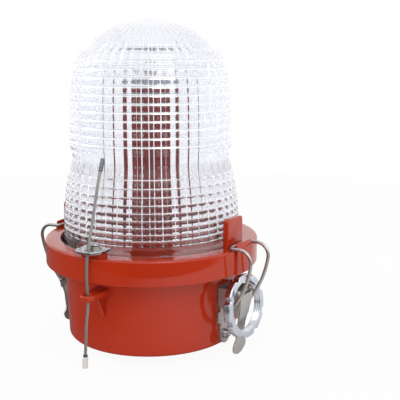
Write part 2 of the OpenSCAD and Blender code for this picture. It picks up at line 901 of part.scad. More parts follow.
module pivot_pin() {
    color(zinc)
        translate([pivot_u, 0, pivot_z])
            across(pin_r, -ear_half, ear_half);
}
module pivot_pin_right() latch_side(1) pivot_pin();
module pivot_pin_left() latch_side(-1) pivot_pin();

// Lever: cheeks on the pivot, a sloping web and a thumb tab
module lever() {
    slope = atan2(lever_front - neck_u, pivot_z - neck_z);
    web_len = norm([lever_front - neck_u, pivot_z - neck_z]);
    tab_top = neck_z - 6;
    tab_slope = atan2(thumb_u - neck_u, neck_z - thumb_z);
    tab_len = norm([thumb_u - neck_u, neck_z - thumb_z]);
    color(steel)
        difference() {
            union() {
                for (side = [-1, 1])
                    plate_across(
                        side > 0 ? cheek_half - sheet_t : -cheek_half,
                        side > 0 ? cheek_half : -cheek_half + sheet_t
                    ) {
                        translate([pivot_u, pivot_z])
                            circle(r = lever_end_r);
                        polygon([
                            [pivot_u - lever_end_r, pivot_z], [hole_u - 3.4, hole_z],
                            [hole_u - 2.2, hole_z - 3], [hole_u + 1, hole_z - 6],
                            [lever_front - (lever_front - neck_u) * 0.62, hole_z - 7],
                            [lever_front, pivot_z]
                        ]);
                    }
                translate([lever_front, 0, pivot_z])
                    rotate([0, slope, 0])
                        translate([-sheet_t, 0, -web_len])
                            plate_outward(0, sheet_t)
                                polygon([
                                    [-cheek_half, web_len], [-cheek_half, web_len * 0.45], [-neck_half, 0],
                                    [neck_half, 0], [cheek_half, web_len * 0.45], [cheek_half, web_len]
                                ]);
                translate([neck_u, 0, neck_z])
                    rotate([0, -tab_slope, 0])
                        translate([-sheet_t, 0, -tab_len])
                            plate_outward(0, sheet_t) {
                                translate([0, thumb_tip_r])
                                    circle(r = thumb_tip_r);
                                translate([0, tab_len * 0.52])
                                    circle(r = thumb_r);
                                polygon([
                                    [-thumb_tip_r, thumb_tip_r], [thumb_tip_r, thumb_tip_r],
                                    [thumb_r, tab_len * 0.52], [neck_half, tab_len + 0.2],
                                    [-neck_half, tab_len + 0.2], [-thumb_r, tab_len * 0.52]
                                ]);
                            }
            }
            translate([pivot_u, 0, pivot_z])
                across(pin_r + running, -cheek_half - 1, cheek_half + 1);
            translate([hole_u, 0, hole_z])
                across(wire_r + running, -cheek_half - 1, cheek_half + 1);
        }
}
module lever_right() latch_side(1) lever();
module lever_left() latch_side(-1) lever();

// Bail: a bent wire with a pin at each end
bail_corner = 3;
bail_drop = norm([bar_z - hole_z, bail_top_half - bail_low_half]);
bail_splay = atan2(bail_top_half - bail_low_half, bar_z - hole_z);
bow_u = bail_reach - wire_r - bow_r;
bow_leave = [bow_u + bow_r * cos(bow_end), -bow_r - bow_r * sin(bow_end)];
leg_pole = bow_leave + leg_pull * [-sin(bow_end), -cos(bow_end)];
leg_end = [hole_u, -bail_drop];
function leg_point(x) = (1 - x) * (1 - x) * bow_leave + 2 * x * (1 - x) * leg_pole + x * x * leg_end;
leg_path = concat(
    [for (i = [0 : 12])
        let (a = 90 - (90 + bow_end) * i / 12)
        [bow_u + bow_r * cos(a), -bow_r + bow_r * sin(a)]],
    [for (i = [1 : 10]) leg_point(i / 10)]
);
half_bail = concat(
    [for (i = [0 : 5])
        let (a = 180 - 90 * i / 5)
        [bar_u + bail_corner * (1 + cos(a)), bail_top_half - bail_corner * (1 - sin(a)), bar_z]],
    [for (p = leg_path) [p[0], bail_top_half + p[1] * sin(bail_splay), bar_z + p[1] * cos(bail_splay)]]
);
bail_path = concat(
    [for (i = [len(half_bail) - 1 : -1 : 0]) [half_bail[i][0], -half_bail[i][1], half_bail[i][2]]],
    half_bail
);
module bail() {
    color(steel) {
        tube(bail_path, wire_r, 12, [1, 1, 1]);
        for (side = [-1, 1]) {
            translate([hole_u, side * bail_low_half, hole_z])
                sphere(r = wire_r + 0.4);
            translate([hole_u, 0, hole_z])
                if (side > 0)
                    across(wire_r, cheek_half - sheet_t - 1, bail_low_half);
                else
                    across(wire_r, -bail_low_half, -cheek_half + sheet_t + 1);
        }
    }
}
module bail_right() latch_side(1) bail();
module bail_left() latch_side(-1) bail();

// Locknut kept for the conduit, hung over the right latch's ears
module conduit_locknut() {
    color(zinc)
        translate([hang_u, 0, hang_z])
            rotate([0, -nut_lean, -nut_turn])
                translate([0, 0, -nut_drop])
                    rotate([0, 90, 0])
                        difference() {
                            cylinder(r = nut_r, h = nut_t);
                            translate([0, 0, -1])
                                cylinder(r = nut_bore_r, h = nut_t + 2);
                            for (i = [0 : nut_notches - 1])
                                rotate([0, 0, 360 * (i + 0.5) / nut_notches])
                                    translate([nut_r + notch_r * 0.35, 0, -1])
                                        cylinder(r = notch_r, h = nut_t + 2);
                        }
}

housing_casting();
base_gasket();
glass_lens();
lens_gasket();
clamp_collar();
deck_plate();
deck_screws();
led_pedestal();
led_post();
led_boards();
led_emitters();
post_cap();
tie_rod();
tie_nut();
driver_board();
driver_parts();
board_standoffs();
terminal_block();
terminal_screws();
ground_screw();
driver_leads();
led_leads();
tether_bracket();
bracket_washer();
bracket_screw();
tether_cable();
tether_top_ferrule();
tether_crimp();
tether_end_sleeve();
latch_base_right();
latch_base_left();
latch_screws();
pivot_pin_right();
pivot_pin_left();
lever_right();
lever_left();
bail_right();
bail_left();
conduit_locknut();
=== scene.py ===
import json
import bmesh
import bpy
import numpy as np
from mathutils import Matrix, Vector


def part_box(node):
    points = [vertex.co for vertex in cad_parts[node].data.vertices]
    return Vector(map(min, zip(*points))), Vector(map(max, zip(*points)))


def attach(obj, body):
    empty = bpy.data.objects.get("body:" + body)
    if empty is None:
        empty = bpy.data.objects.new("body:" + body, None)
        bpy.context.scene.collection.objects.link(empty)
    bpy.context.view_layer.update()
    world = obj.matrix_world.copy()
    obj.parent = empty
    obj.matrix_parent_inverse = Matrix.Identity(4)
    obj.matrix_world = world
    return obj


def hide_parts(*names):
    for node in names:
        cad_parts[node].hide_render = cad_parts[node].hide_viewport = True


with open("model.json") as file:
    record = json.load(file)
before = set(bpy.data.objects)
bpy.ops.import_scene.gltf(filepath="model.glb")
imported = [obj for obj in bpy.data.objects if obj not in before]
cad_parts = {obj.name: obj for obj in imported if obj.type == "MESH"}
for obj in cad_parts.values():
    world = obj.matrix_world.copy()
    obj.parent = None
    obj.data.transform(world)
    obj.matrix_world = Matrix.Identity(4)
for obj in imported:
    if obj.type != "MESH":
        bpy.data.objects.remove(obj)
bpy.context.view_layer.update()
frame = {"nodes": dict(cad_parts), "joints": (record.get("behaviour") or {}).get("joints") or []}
scene = bpy.context.scene
scene.view_settings.view_transform = "Standard"

# The camera looks slightly down at the lamp from the front right, where the lens, the tether and
# one latch are all in sight. Its place and lens come from the round edges of collar and housing.
camera = bpy.data.objects.new("camera", bpy.data.cameras.new("camera"))
scene.collection.objects.link(camera)
scene.camera = camera
camera.data.sensor_width = 36.0
camera.data.lens = 67.21
camera.location = (0.31365, -0.42765, 0.20462)
camera.rotation_mode = "QUATERNION"
camera.rotation_quaternion = Vector((-0.52752, 0.82803, -0.18995)).to_track_quat("-Z", "Y")

# The tether is a stranded stainless wire rope of 2 mm, threaded through a bracket on the collar and
# a guide on the housing. Its upper end stands by the glass in a swaged ferrule, its lower end is
# crimped and covered by a pale sleeve, and both ends are in sight.
mm = 0.001
tether_angle = np.radians(-86.0)
rope_route = np.array([
    [0.0586, 0, 0.1390], [0.0616, 0, 0.1315], [0.0642, 0, 0.1245], [0.0664, 0, 0.1175],
    [0.0684, 0, 0.1105], [0.0704, 0, 0.1035], [0.0724, 0, 0.0970], [0.0744, 0, 0.0910],
    [0.0762, 0, 0.0855], [0.0775, 0, 0.0805], [0.0784, 0, 0.0750], [0.0790, 0, 0.0690],
    [0.0792, 0, 0.0630], [0.0790, 0, 0.0575], [0.0786, 0, 0.0520], [0.0788, 0, 0.0465],
    [0.0796, 0, 0.0410], [0.0806, 0, 0.0355], [0.0814, 0, 0.0300], [0.0818, 0, 0.0250],
    [0.0822, 0, 0.0205], [0.0828, 0, 0.0142], [0.08295, 0, 0.0127], [0.0836, 0, 0.0060],
])
rope_r = 0.0010
strands, rope_pitch = 6, 0.0115


def about(points, angle):
    """Points given as (distance from the axis, sideways, height), turned round the axis."""
    c, s = np.cos(angle), np.sin(angle)
    u, t, z = points[..., 0], points[..., 1], points[..., 2]
    return np.stack([c * u - s * t, s * u + c * t, z], -1)


def at_tether(points):
    """Points turned round the axis to the side where the tether hangs."""
    return about(points, tether_angle)


def through(points, count):
    """A smooth line through points: each stretch is a cubic whose end slopes join its neighbours."""
    n = len(points) - 1
    x = np.linspace(0, n, count)
    i = np.minimum(x.astype(int), n - 1)
    f = (x - i)[:, None]
    slope = np.gradient(points, axis=0)
    a, b, da, db = points[i], points[i + 1], slope[i], slope[i + 1]
    return (a * (1 + 2 * f) * (1 - f) ** 2 + da * f * (1 - f) ** 2
            + b * f ** 2 * (3 - 2 * f) + db * f ** 2 * (f - 1))


def unit(v):
    """Vectors brought to length 1."""
    return v / np.linalg.norm(v, axis=-1, keepdims=True)


def swept(path, section, side):
    """A section [row, column, 2] carried along a path: at every row its two numbers run along the
    cross product of the path's direction with a fixed side vector, and across that."""
    ahead = unit(np.gradient(path, axis=0))
    first = unit(np.cross(ahead, np.asarray(side, float)))
    second = np.cross(ahead, first)
    return (path[:, None] + section[..., :1] * first[:, None] + section[..., 1:] * second[:, None])


def ring(radius, sides):
    """A circle's points, counted round once, as [column, 2]."""
    a = np.linspace(0, 2 * np.pi, sides, endpoint=False)
    return radius * np.stack([np.cos(a), np.sin(a)], -1)


def skin(points, round_rows=False, round_columns=True, cap=False):
    """Quads over a grid of points [row, column], closed round where asked, with the first and last
    rows filled by one face each when capped."""
    rows, columns = points.shape[:2]
    index = np.arange(rows * columns).reshape(rows, columns)
    low = index if round_rows else index[:-1]
    high = np.roll(index, -1, 0) if round_rows else index[1:]
    if round_columns:
        quads = np.stack([low, np.roll(low, -1, 1), np.roll(high, -1, 1), high], -1)
    else:
        quads = np.stack([low[:, :-1], low[:, 1:], high[:, 1:], high[:, :-1]], -1)
    faces = [quads.reshape(-1, 4)]
    if cap:
        faces += [index[:1, ::-1], index[-1:]]
    return points.reshape(-1, 3), faces


def piece(name, body, slot, finish, *skins, replaces=(), sharp=40.0, marks=None):
    """Joins skins into one object at the origin, closes seams and poles, turns its faces outwards,
    shades it smooth up to an angle and rides it on a body. marks, one number a point, is kept as an
    attribute for the finish."""
    starts = np.cumsum([0] + [len(points) for points, _ in skins])
    points = np.concatenate([points for points, _ in skins])
    faces = [face for start, (_, groups) in zip(starts, skins)
             for group in groups for face in (group + start).tolist()]
    mesh = bpy.data.meshes.new(name)
    mesh.from_pydata(points.tolist(), [], faces)
    if marks is not None:
        mesh.attributes.new("mark", "FLOAT", "POINT").data.foreach_set("value", np.ravel(marks))
    work = bmesh.new()
    work.from_mesh(mesh)
    bmesh.ops.remove_doubles(work, verts=work.verts, dist=2e-7)
    bmesh.ops.recalc_face_normals(work, faces=work.faces)
    work.to_mesh(mesh)
    work.free()
    mesh.shade_smooth()
    if sharp < 180.0:
        mesh.set_sharp_from_angle(angle=np.radians(sharp))
    made = bpy.data.objects.new(name, mesh)
    scene.collection.objects.link(made)
    mesh.materials.append(finish)
    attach(made, body)
    if replaces:
        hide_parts(*replaces)
    return made


class Value:
    """A shader socket in an expression: each operator adds one Math node."""

    def __init__(self, nodes, socket):
        self.nodes, self.socket = nodes, socket

    def math(self, operation, *values):
        return self.nodes.node("Math", {"operation": operation}, dict(enumerate(values)))

    def __add__(self, other):
        return self.math("ADD", self, other)

    def __rsub__(self, other):
        return self.math("SUBTRACT", other, self)

    def __mul__(self, other):
        return self.math("MULTIPLY", self, other)

    __radd__, __rmul__ = __add__, __mul__


class Nodes:
    """A node tree: node() adds any node, feed() sets or links one socket."""

    def __init__(self, tree):
        self.tree = tree

    def node(self, kind, settings=None, inputs=None, output=0):
        made = self.tree.nodes.new("ShaderNode" + kind)
        for key, value in (settings or {}).items():
            setattr(made, key, value)
        for key, value in (inputs or {}).items():
            self.feed(made.inputs[key], value)
        return Value(self, made.outputs[output])

    def feed(self, socket, value):
        if isinstance(value, Value):
            self.tree.links.new(value.socket, socket)
        else:
            socket.default_value = value

    def place(self, scale=(1, 1, 1), turn=(0, 0, 0)):
        """Object coordinates, stretched and turned."""
        spot = self.node("TexCoord", output="Object")
        return self.node("Mapping", {}, {"Vector": spot, "Scale": scale, "Rotation": turn})

    def noise(self, scale, detail=3.0, rough=0.5, at=None):
        return self.node("TexNoise", {}, {"Vector": at or self.place(), "Scale": scale,
                                          "Detail": detail, "Roughness": rough})

    def between(self, factor, a, b):
        """A colour between two colours."""
        return self.node("Mix", {"data_type": "RGBA"}, {0: factor, 6: (*a, 1), 7: (*b, 1)}, 2)

    def spread(self, value, low, high):
        """A number from low to high as value goes over the middle of a noise's range."""
        return self.node("MapRange", {}, {"Value": value, "From Min": 0.3, "From Max": 0.7,
                                          "To Min": low, "To Max": high})

    def bump(self, height, distance, strength=1.0):
        return self.node("Bump", {}, {"Height": height, "Distance": distance, "Strength": strength})


def finish(name, constants, varying):
    """A material: constants go on the shader's sockets, varying(nodes) returns what is linked."""
    material = bpy.data.materials.new(name)
    material.use_nodes = True
    nodes = Nodes(material.node_tree)
    shader = nodes.tree.nodes["Principled BSDF"]
    for socket, value in constants.items():
        shader.inputs[socket].default_value = value
    for socket, value in varying(nodes).items():
        nodes.feed(shader.inputs[socket], value)
    return material


def drawn_steel(dark, light):
    """Dull steel: fine streaks and faint stains between two greys."""
    def varying(nodes):
        streak = nodes.noise(900, 2, 0.6, nodes.place((1, 1, 0.08)))
        stain = nodes.noise(90, 4)
        return {
            "Base Color": nodes.between(stain, dark, light),
            "Roughness": nodes.spread(streak, 0.28, 0.46),
            "Normal": nodes.bump(streak, 0.00003, 0.6),
        }
    return varying


def stranded_with_painted_gap_shade(nodes):
    """Strands of drawn wire: the steel's own grey on their crowns and a painted shade near black in the gaps
    between them, from the rope's own marks.
    """
    crown = nodes.node("Attribute", {"attribute_name": "mark"}, output="Fac")
    grime = nodes.noise(500, 3)
    return {
        # Painted shade: where the mark is low, between the strands, the colour goes near black.
        "Base Color": nodes.between(crown, (0.025, 0.023, 0.022), (0.68, 0.67, 0.65)),
        "Roughness": nodes.spread(grime, 0.34, 0.52),
        "Normal": nodes.bump(grime, 0.00002, 0.5),
    }


rope_steel = finish("rope_steel", {"Metallic": 0.8}, stranded_with_painted_gap_shade)
rope_line = through(rope_route, 720)
rope_along = np.r_[0, np.cumsum(np.linalg.norm(np.diff(rope_line, axis=0), axis=1))]
round_rope = np.linspace(0, 2 * np.pi, 42, endpoint=False)
lay_angle = round_rope[None] - 2 * np.pi * rope_along[:, None] / rope_pitch
crowns = np.abs(np.cos(lay_angle * strands / 2))
lobes = rope_r * (0.74 + 0.26 * crowns ** 0.6)
rope_section = lobes[..., None] * np.stack([np.cos(round_rope), np.sin(round_rope)], -1)[None]
# The rope's marks say where shade is painted into the gaps between its strands.
rope = piece("tether_rope", "housing", "rope_steel", rope_steel,
             skin(at_tether(swept(rope_line, rope_section, (0, 1, 0))), cap=True),
             replaces=["tether_cable"], sharp=180.0, marks=np.clip(1.8 * crowns - 0.75, 0, 1))
stainless = finish("stainless", {"Metallic": 1.0}, drawn_steel((0.46, 0.45, 0.44), (0.60, 0.59, 0.57)))


def turned(profile, start, towards, sides=40):
    """A profile of (radius, distance) carried round the line that leaves start in a direction."""
    profile = np.asarray(profile, float)
    ahead = unit(np.asarray(towards, float))
    first = unit(np.cross(ahead, [0.31, 0.95, 0.05]))
    second = np.cross(ahead, first)
    circle = ring(1.0, sides)
    spokes = circle[:, :1] * first + circle[:, 1:] * second
    return (np.asarray(start, float) + profile[:, 1][:, None, None] * ahead
            + profile[:, 0][:, None, None] * spokes[None])


def sleeve_on_rope(name, slot, finish_, first, last, radius, beyond, dents=()):
    """A tube round the rope between two points of its route, rounded at its ends and pinched where
    the swaging tool has bitten."""
    span = np.linalg.norm(rope_route[last] - rope_route[first]) + beyond
    x = np.linspace(0, 1, 41)
    pinch = sum(0.00012 * np.exp(-((x - d) / 0.05) ** 2) for d in dents) if dents else 0 * x
    ease = 0.00035 * (np.exp(-x * span / 0.0003) + np.exp(-(1 - x) * span / 0.0003))
    profile = np.stack([radius - pinch - ease, x * span], -1)
    profile = np.r_[[[rope_r * 0.6, 0]], profile, [[0, span]]]
    grid = turned(profile, rope_route[first], rope_route[last] - rope_route[first])
    return piece(name, "housing", slot, finish_, skin(at_tether(grid), cap=True),
                 replaces=[name.replace("_skin", "")])


def dull_plastic(colour, other):
    """Moulded plastic: slow shifts between two colours and a fine grain."""
    def varying(nodes):
        grain = nodes.noise(700, 4)
        return {
            "Base Color": nodes.between(nodes.noise(120, 3), colour, other),
            "Roughness": nodes.spread(grain, 0.42, 0.62),
            "Normal": nodes.bump(grain, 0.00003, 0.5),
        }
    return varying


crimp_black = finish("crimp_black", {}, dull_plastic((0.03, 0.03, 0.032), (0.06, 0.06, 0.062)))
sleeve_pale = finish("sleeve_pale", {}, dull_plastic((0.70, 0.68, 0.64), (0.80, 0.79, 0.76)))
ferrule_steel = finish("ferrule_steel", {"Metallic": 1.0},
                       drawn_steel((0.17, 0.17, 0.175), (0.28, 0.28, 0.285)))
ferrule = sleeve_on_rope("tether_top_ferrule_skin", "rope_steel", ferrule_steel, 1, 0, 0.0015, 0.0004,
                         (0.2, 0.5, 0.8))
crimp = sleeve_on_rope("tether_crimp_skin", "crimp_black", crimp_black, -3, -2, 0.0016, 0.0, (0.5,))
sleeve = sleeve_on_rope("tether_end_sleeve_skin", "sleeve_pale", sleeve_pale, -2, -1, 0.0018, 0.0008)
at_tether(rope_route[0])
at_tether(rope_line)

# The housing is a red-painted aluminium casting: a cup on a conduit hub, with a flat milled into its wall
# under each latch and a web that guides the rope. Gloss enamel lies over it, a little wavy.
joint = {j["name"]: np.array(j["pos_m"]) / mm for j in frame["joints"]}
latch_turn = {name: np.arctan2(*joint[f"{name}_lever_hinge"][1::-1]) for name in ("right", "left")}
hub_r, hub_h, entry_r, cup_r, cup_draft, cup_wall, cup_floor = 29.0, 7.0, 17.4, 61.2, 1.8, 4.0, 5.0
rim_r, collar_low = cup_r + cup_draft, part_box("clamp_collar")[0].z / mm
flange_r, flange_low, flange_top = rim_r + 8.4, collar_low + 1.8, collar_low + 5.8
flat_u, flat_half, flat_top = rim_r - 2.2, 10.0, joint["right_lever_hinge"][2] + 5.2
guide_u, guide_z, guide_t, guide_half, guide_r, guide_hole_r = 78.6, 49.6, 4.0, 13.5, 5.0, 1.9


def gloss_red(nodes):
    """Signal-red enamel: slow shifts of colour, a slow wave and faint orange peel under a clear gloss."""
    cloud = nodes.noise(24, 3)
    peel = nodes.noise(420, 2, 0.45)
    wave = nodes.noise(30, 1)
    return {
        "Base Color": nodes.between(nodes.spread(cloud, 0, 1),
                                    (0.470, 0.029, 0.0060), (0.510, 0.035, 0.0080)),
        "Roughness": nodes.spread(peel, 0.26, 0.36),
        "Normal": nodes.bump(peel * 0.03 + wave, 0.00018, 0.06),
    }


red_paint = finish("red_paint", {"Coat Weight": 1.0, "Coat Roughness": 0.06, "Coat IOR": 1.5,
                                 "Specular IOR Level": 0.0}, gloss_red)


def dress(finish_, *nodes):
    """Gives CAD nodes a finish by their material slots."""
    for name in nodes:
        for slot in frame["nodes"][name].material_slots:
            slot.material = finish_


def fillet(corners, radii, steps=6):
    """A closed outline whose corners are rounded: at each corner an arc of its radius touches both
    sides, its centre on the corner's bisector."""
    c = np.asarray(corners, float)
    r = np.broadcast_to(np.asarray(radii, float), len(c))[:, None]
    back, on = unit(np.roll(c, 1, 0) - c), unit(np.roll(c, -1, 0) - c)
    half = np.arccos(np.clip((back * on).sum(-1, keepdims=True), -1, 1)) / 2
    reach = r / np.tan(half)
    centre = c + unit(back + on) * r / np.sin(half)
    start, end = c + back * reach - centre, c + on * reach - centre
    a = np.arctan2(start[:, 1], start[:, 0])
    turn = (np.arctan2(end[:, 1], end[:, 0]) - a + np.pi) % (2 * np.pi) - np.pi
    angle = a[:, None] + turn[:, None] * np.linspace(0, 1, steps)
    arc = centre[:, None] + r[:, None] * np.stack([np.cos(angle), np.sin(angle)], -1)
    return arc.reshape(-1, 2)


def edge_rows(low, high, edge, steps=5):
    """The drawing-in and the height of each row of a plate whose two edges are quarter circles."""
    turn = np.linspace(0, np.pi / 2, steps)
    inset, rise = edge * (1 - np.sin(turn)), edge * (1 - np.cos(turn))
    return np.r_[inset, inset[::-1]], np.r_[low + rise, high - rise[::-1]]


def plate(outline, low, high, edge, order):
    """An outline carried from low to high and drawn in at both ends along a quarter circle. order
    says which numbers of (outline, outline, height) become distance, sideways and height."""
    outline = np.asarray(outline, float)
    insets, heights = edge_rows(low, high, edge)
    area = np.sum(outline[:, 0] * np.roll(outline[:, 1], -1) - np.roll(outline[:, 0], -1) * outline[:, 1])
    ahead = unit(np.roll(outline, -1, 0) - outline)
    out = np.sign(area) * np.stack([ahead[:, 1], -ahead[:, 0]], -1)
    before = np.roll(out, 1, 0)
    mitre = (out + before) / np.maximum(1 + (out * before).sum(-1, keepdims=True), 0.3)
    flat = outline[None] - insets[:, None, None] * mitre[None]
    tall = np.broadcast_to(heights[:, None, None], flat.shape[:2] + (1,))
    return np.concatenate([flat, tall], -1)[..., order]


along_t, along_u, along_z = [0, 2, 1], [2, 0, 1], [0, 1, 2]


def holed(outline, centre, hole_r, low, high, edge, sides=144):
    """A level plate with a round hole: from the hole's centre each ray ends on the first side of the
    convex outline that it meets, and the rows go out over the top and back underneath."""
    outline = np.asarray(outline, float) - centre
    ahead = unit(np.roll(outline, -1, 0) - outline)
    out = np.stack([ahead[:, 1], -ahead[:, 0]], -1)
    out *= np.sign((out * outline).sum(-1, keepdims=True))
    ray = ring(1.0, sides)
    facing = ray @ out.T
    reach = np.where(facing > 1e-6, (out * outline).sum(-1) / np.maximum(facing, 1e-6), np.inf).min(1)
    insets, heights = edge_rows(low, high, edge)
    r = np.concatenate([reach[None] - insets[:, None], hole_r + insets[::-1, None] * np.ones(sides)])
    flat = centre + r[..., None] * ray
    tall = np.broadcast_to(np.r_[heights, heights[::-1]][:, None, None], r.shape + (1,))
    return np.concatenate([flat, tall], -1)


def at_latch(points, name):
    """Points in a latch's own frame in millimetres, turned to the side where that latch sits."""
    return about(points, latch_turn[name]) * mm


def stepped(x, low, high):
    """0 below low, 1 above high and a smooth cubic between."""
    f = np.clip((x - low) / (high - low), 0, 1)
    return f * f * (3 - 2 * f)


def cup_grid():
    """The cup's outline of radius and height carried once round, with fine steps where the flats end;
    within a flat, the distance along the latch's own direction is held at the flat."""
    inner_r, floor_z = rim_r - cup_wall, hub_h + cup_floor
    corners = [(entry_r, 0), (hub_r, 0), (hub_r, hub_h), (cup_r, hub_h), (rim_r, collar_low),
               (rim_r, flange_low), (flange_r, flange_low), (flange_r, flange_top), (inner_r, flange_top),
               (inner_r, collar_low), (cup_r - cup_wall, floor_z), (entry_r, floor_z)]
    outline = fillet(corners, [0.6, 1.2, 0.8, 2.4, 0.3, 0.7, 0.6, 0.6, 0.4, 0.3, 2.0, 0.6], 7)
    closed = np.r_[outline, outline[:1]]
    along = np.r_[0, np.cumsum(np.linalg.norm(np.diff(closed, axis=0), axis=1))]
    wall = np.nonzero(np.linalg.norm(np.diff(closed, axis=0), axis=1) > 40)[0][0]
    height = np.r_[np.arange(11, flat_top - 1, 3),
                   flat_top + np.array([-0.4, -0.15, 0.1, 0.35, 0.6, 3.0])]
    share = (height - closed[wall, 1]) / (closed[wall + 1, 1] - closed[wall, 1])
    stop = np.union1d(along[:-1], along[wall] + share * (along[wall + 1] - along[wall]))
    r, z = np.interp(stop, along, closed[:, 0]), np.interp(stop, along, closed[:, 1])
    side = np.arctan(flat_half / flat_u) + np.radians(np.linspace(-0.5, 0.5, 7))
    fine = [turn + np.r_[-side, side] for turn in latch_turn.values()]
    a = np.unique(np.round(np.concatenate([np.radians(np.arange(0, 360, 2.5)), *fine]) % (2 * np.pi), 7))
    r = np.broadcast_to(r[:, None], (len(r), len(a)))
    z = np.broadcast_to(z[:, None], r.shape)
    for turn in latch_turn.values():
        u, t = r * np.cos(a - turn), r * np.sin(a - turn)
        within = 1 - stepped(np.abs(t), flat_half, flat_half + 0.35)
        under = 1 - stepped(z, flat_top, flat_top + 0.4)
        outside_wall = (u > 0) & (r > rim_r - 2.9) & (z < collar_low - 1)
        r = np.hypot(u - within * under * outside_wall * np.clip(u - flat_u, 0, None), t)
    return np.stack([r * np.cos(a), r * np.sin(a), z], -1)


tip = np.linspace(-np.pi / 2, np.pi / 2, 33)
guide_nose = np.stack([guide_u + guide_r * np.cos(tip), guide_r * np.sin(tip)], -1)
guide_outline = np.r_[[(cup_r - 2, -guide_half)], guide_nose, [(cup_r - 2, guide_half)]]
guide = holed(guide_outline, (guide_u, 0.0), guide_hole_r, guide_z, guide_z + guide_t, 1.1)
gusset = fillet([(cup_r - 2, guide_z - 18), (cup_r + 1, guide_z - 18), (guide_u - guide_r - 3, guide_z + 1),
                 (cup_r - 2, guide_z + 1)], [0.2, 0.6, 0.2, 0.2])
deck_low, cup_low, boss_u, boss_r, bore_r = flange_top + 2, hub_h + cup_floor - 0.5, rim_r - 12, 4.6, 2.0
boss_profile = [(0, deck_low - 12), (bore_r, deck_low - 12), (bore_r, deck_low - 0.2),
                (bore_r + 0.2, deck_low), (boss_r - 0.3, deck_low), (boss_r, deck_low - 0.3),
                (boss_r, cup_low), (0, cup_low)]
rib_in, rib_out, rib_top = boss_u + bore_r + 0.4, rim_r - cup_wall + 0.8, flange_top - 0.2
boss_rib = fillet([(rib_in, cup_low), (rib_out, cup_low), (rib_out, rib_top), (rib_in, rib_top)], 0.3)
screw_boss = fillet([(-6, hub_h + 1.5), (6, hub_h + 1.5), (6, hub_h + 34), (-6, hub_h + 34)], 1.0)
screw_boss_grid = plate(screw_boss, flat_u - 6.2, flat_u - 0.6, 0.5, along_u)
cup_skins = [skin(cup_grid() * mm, round_rows=True), skin(at_tether(guide * mm), round_rows=True),
             skin(at_tether(plate(gusset, -1.5, 1.5, 0.6, along_t) * mm), cap=True)]
cup_skins += [skin(at_latch(screw_boss_grid, name), cap=True) for name in latch_turn]
for angle in np.radians([45, 135, 225, 315]):
    cup_skins += [skin(about(turned(boss_profile, (boss_u, 0, 0), (0, 0, 1), 32), angle) * mm),
                  skin(about(plate(boss_rib, -1.5, 1.5, 0.2, along_t), angle) * mm, cap=True)]
piece("housing_cup", "housing", "red_paint", red_paint, *cup_skins, replaces=["housing_casting"])
dress(red_paint, "deck_plate")

# The clamp collar is a cast ring, painted like the housing, that pulls the lens down on its gasket.
# Each latch bar lies in a groove between a tall guard fin and a low sloping lug.
collar_r, fin_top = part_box("clamp_collar")[1].y / mm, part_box("clamp_collar")[1].z / mm
collar_h, collar_wall, collar_top_t, collar_hole_r = 17.2, 4.0, 3.6, 65.3
collar_top = collar_low + collar_h
fin_u, fin_t, fin_w, fin_round = 69.6, 4.0, 20.0, 2.4
lug_u, lug_w, lug_h, keeper_u = 75.55, 20.0, 4.4, collar_r + 1.0
bracket_w, bracket_rise = 20.0, 3.6


def revolved(profile, sides=192):
    """A closed outline of (radius, height) carried once round the lamp's axis."""
    a = np.linspace(0, 2 * np.pi, sides, endpoint=False)
    r, z = profile[:, 0], profile[:, 1]
    return np.stack([np.outer(r, np.cos(a)), np.outer(r, np.sin(a)),
                     np.broadcast_to(z[:, None], (len(r), sides))], -1)


seat = collar_top - collar_top_t
collar_outline = fillet(
    [(collar_r - collar_wall, collar_low), (collar_r, collar_low), (collar_r, collar_top),
     (collar_hole_r, collar_top), (collar_hole_r, seat), (collar_r - collar_wall, seat)],
    [0.5, 1.1, 1.5, 0.8, 0.4, 0.4], 8)
fin_outline = fillet(
    [(-fin_w / 2, collar_top - 1), (fin_w / 2, collar_top - 1), (fin_w / 2, fin_top), (-fin_w / 2, fin_top)],
    [0.2, 0.2, fin_round, fin_round], 8)
keeper_in = collar_r - collar_wall / 2
keeper_outline = fillet(
    [(lug_u, collar_top - 2), (lug_u, collar_top + lug_h), (lug_u + 0.7, collar_top + lug_h),
     (keeper_u, collar_top + 0.9), (keeper_u, collar_low), (keeper_in, collar_low), (keeper_in, collar_top - 2)],
    [0.1, 0.3, 0.3, 0.6, 0.9, 0.1, 0.1], 6)
seat_in, seat_out, seat_half = collar_hole_r + 1.2, collar_r - 1.8, bracket_w / 2 - 1.5
seat_outline = fillet([(seat_in, -seat_half), (seat_out, -seat_half), (seat_out, seat_half), (seat_in, seat_half)],
                      1.6, 6)
bracket_seat = plate(seat_outline, collar_top - 1, collar_top + bracket_rise, 0.6, along_z)
collar_skins = [skin(revolved(collar_outline) * mm, round_rows=True), skin(at_tether(bracket_seat * mm), cap=True)]
for name in latch_turn:
    collar_skins += [
        skin(at_latch(plate(fin_outline, fin_u - fin_t, fin_u, 0.7, along_u), name), cap=True),
        skin(at_latch(plate(keeper_outline, -lug_w / 2, lug_w / 2, 0.5, along_t), name), cap=True),
    ]
piece("collar_casting", "housing", "red_paint", red_paint, *collar_skins, replaces=["clamp_collar"])

# The rope's bracket is a thin stainless plate on the collar's boss, held by a pan-head screw on a washer;
# the rope passes down through the hole in its nose.
bracket_u, bracket_t, bracket_screw_u = collar_hole_r - 0.3, 1.6, 70.0
rope_hole_u, rope_hole_r = 77.3, 1.9
bracket_low = collar_top + bracket_rise
head_r, head_h, washer_t = 3.6, 2.6, 0.8


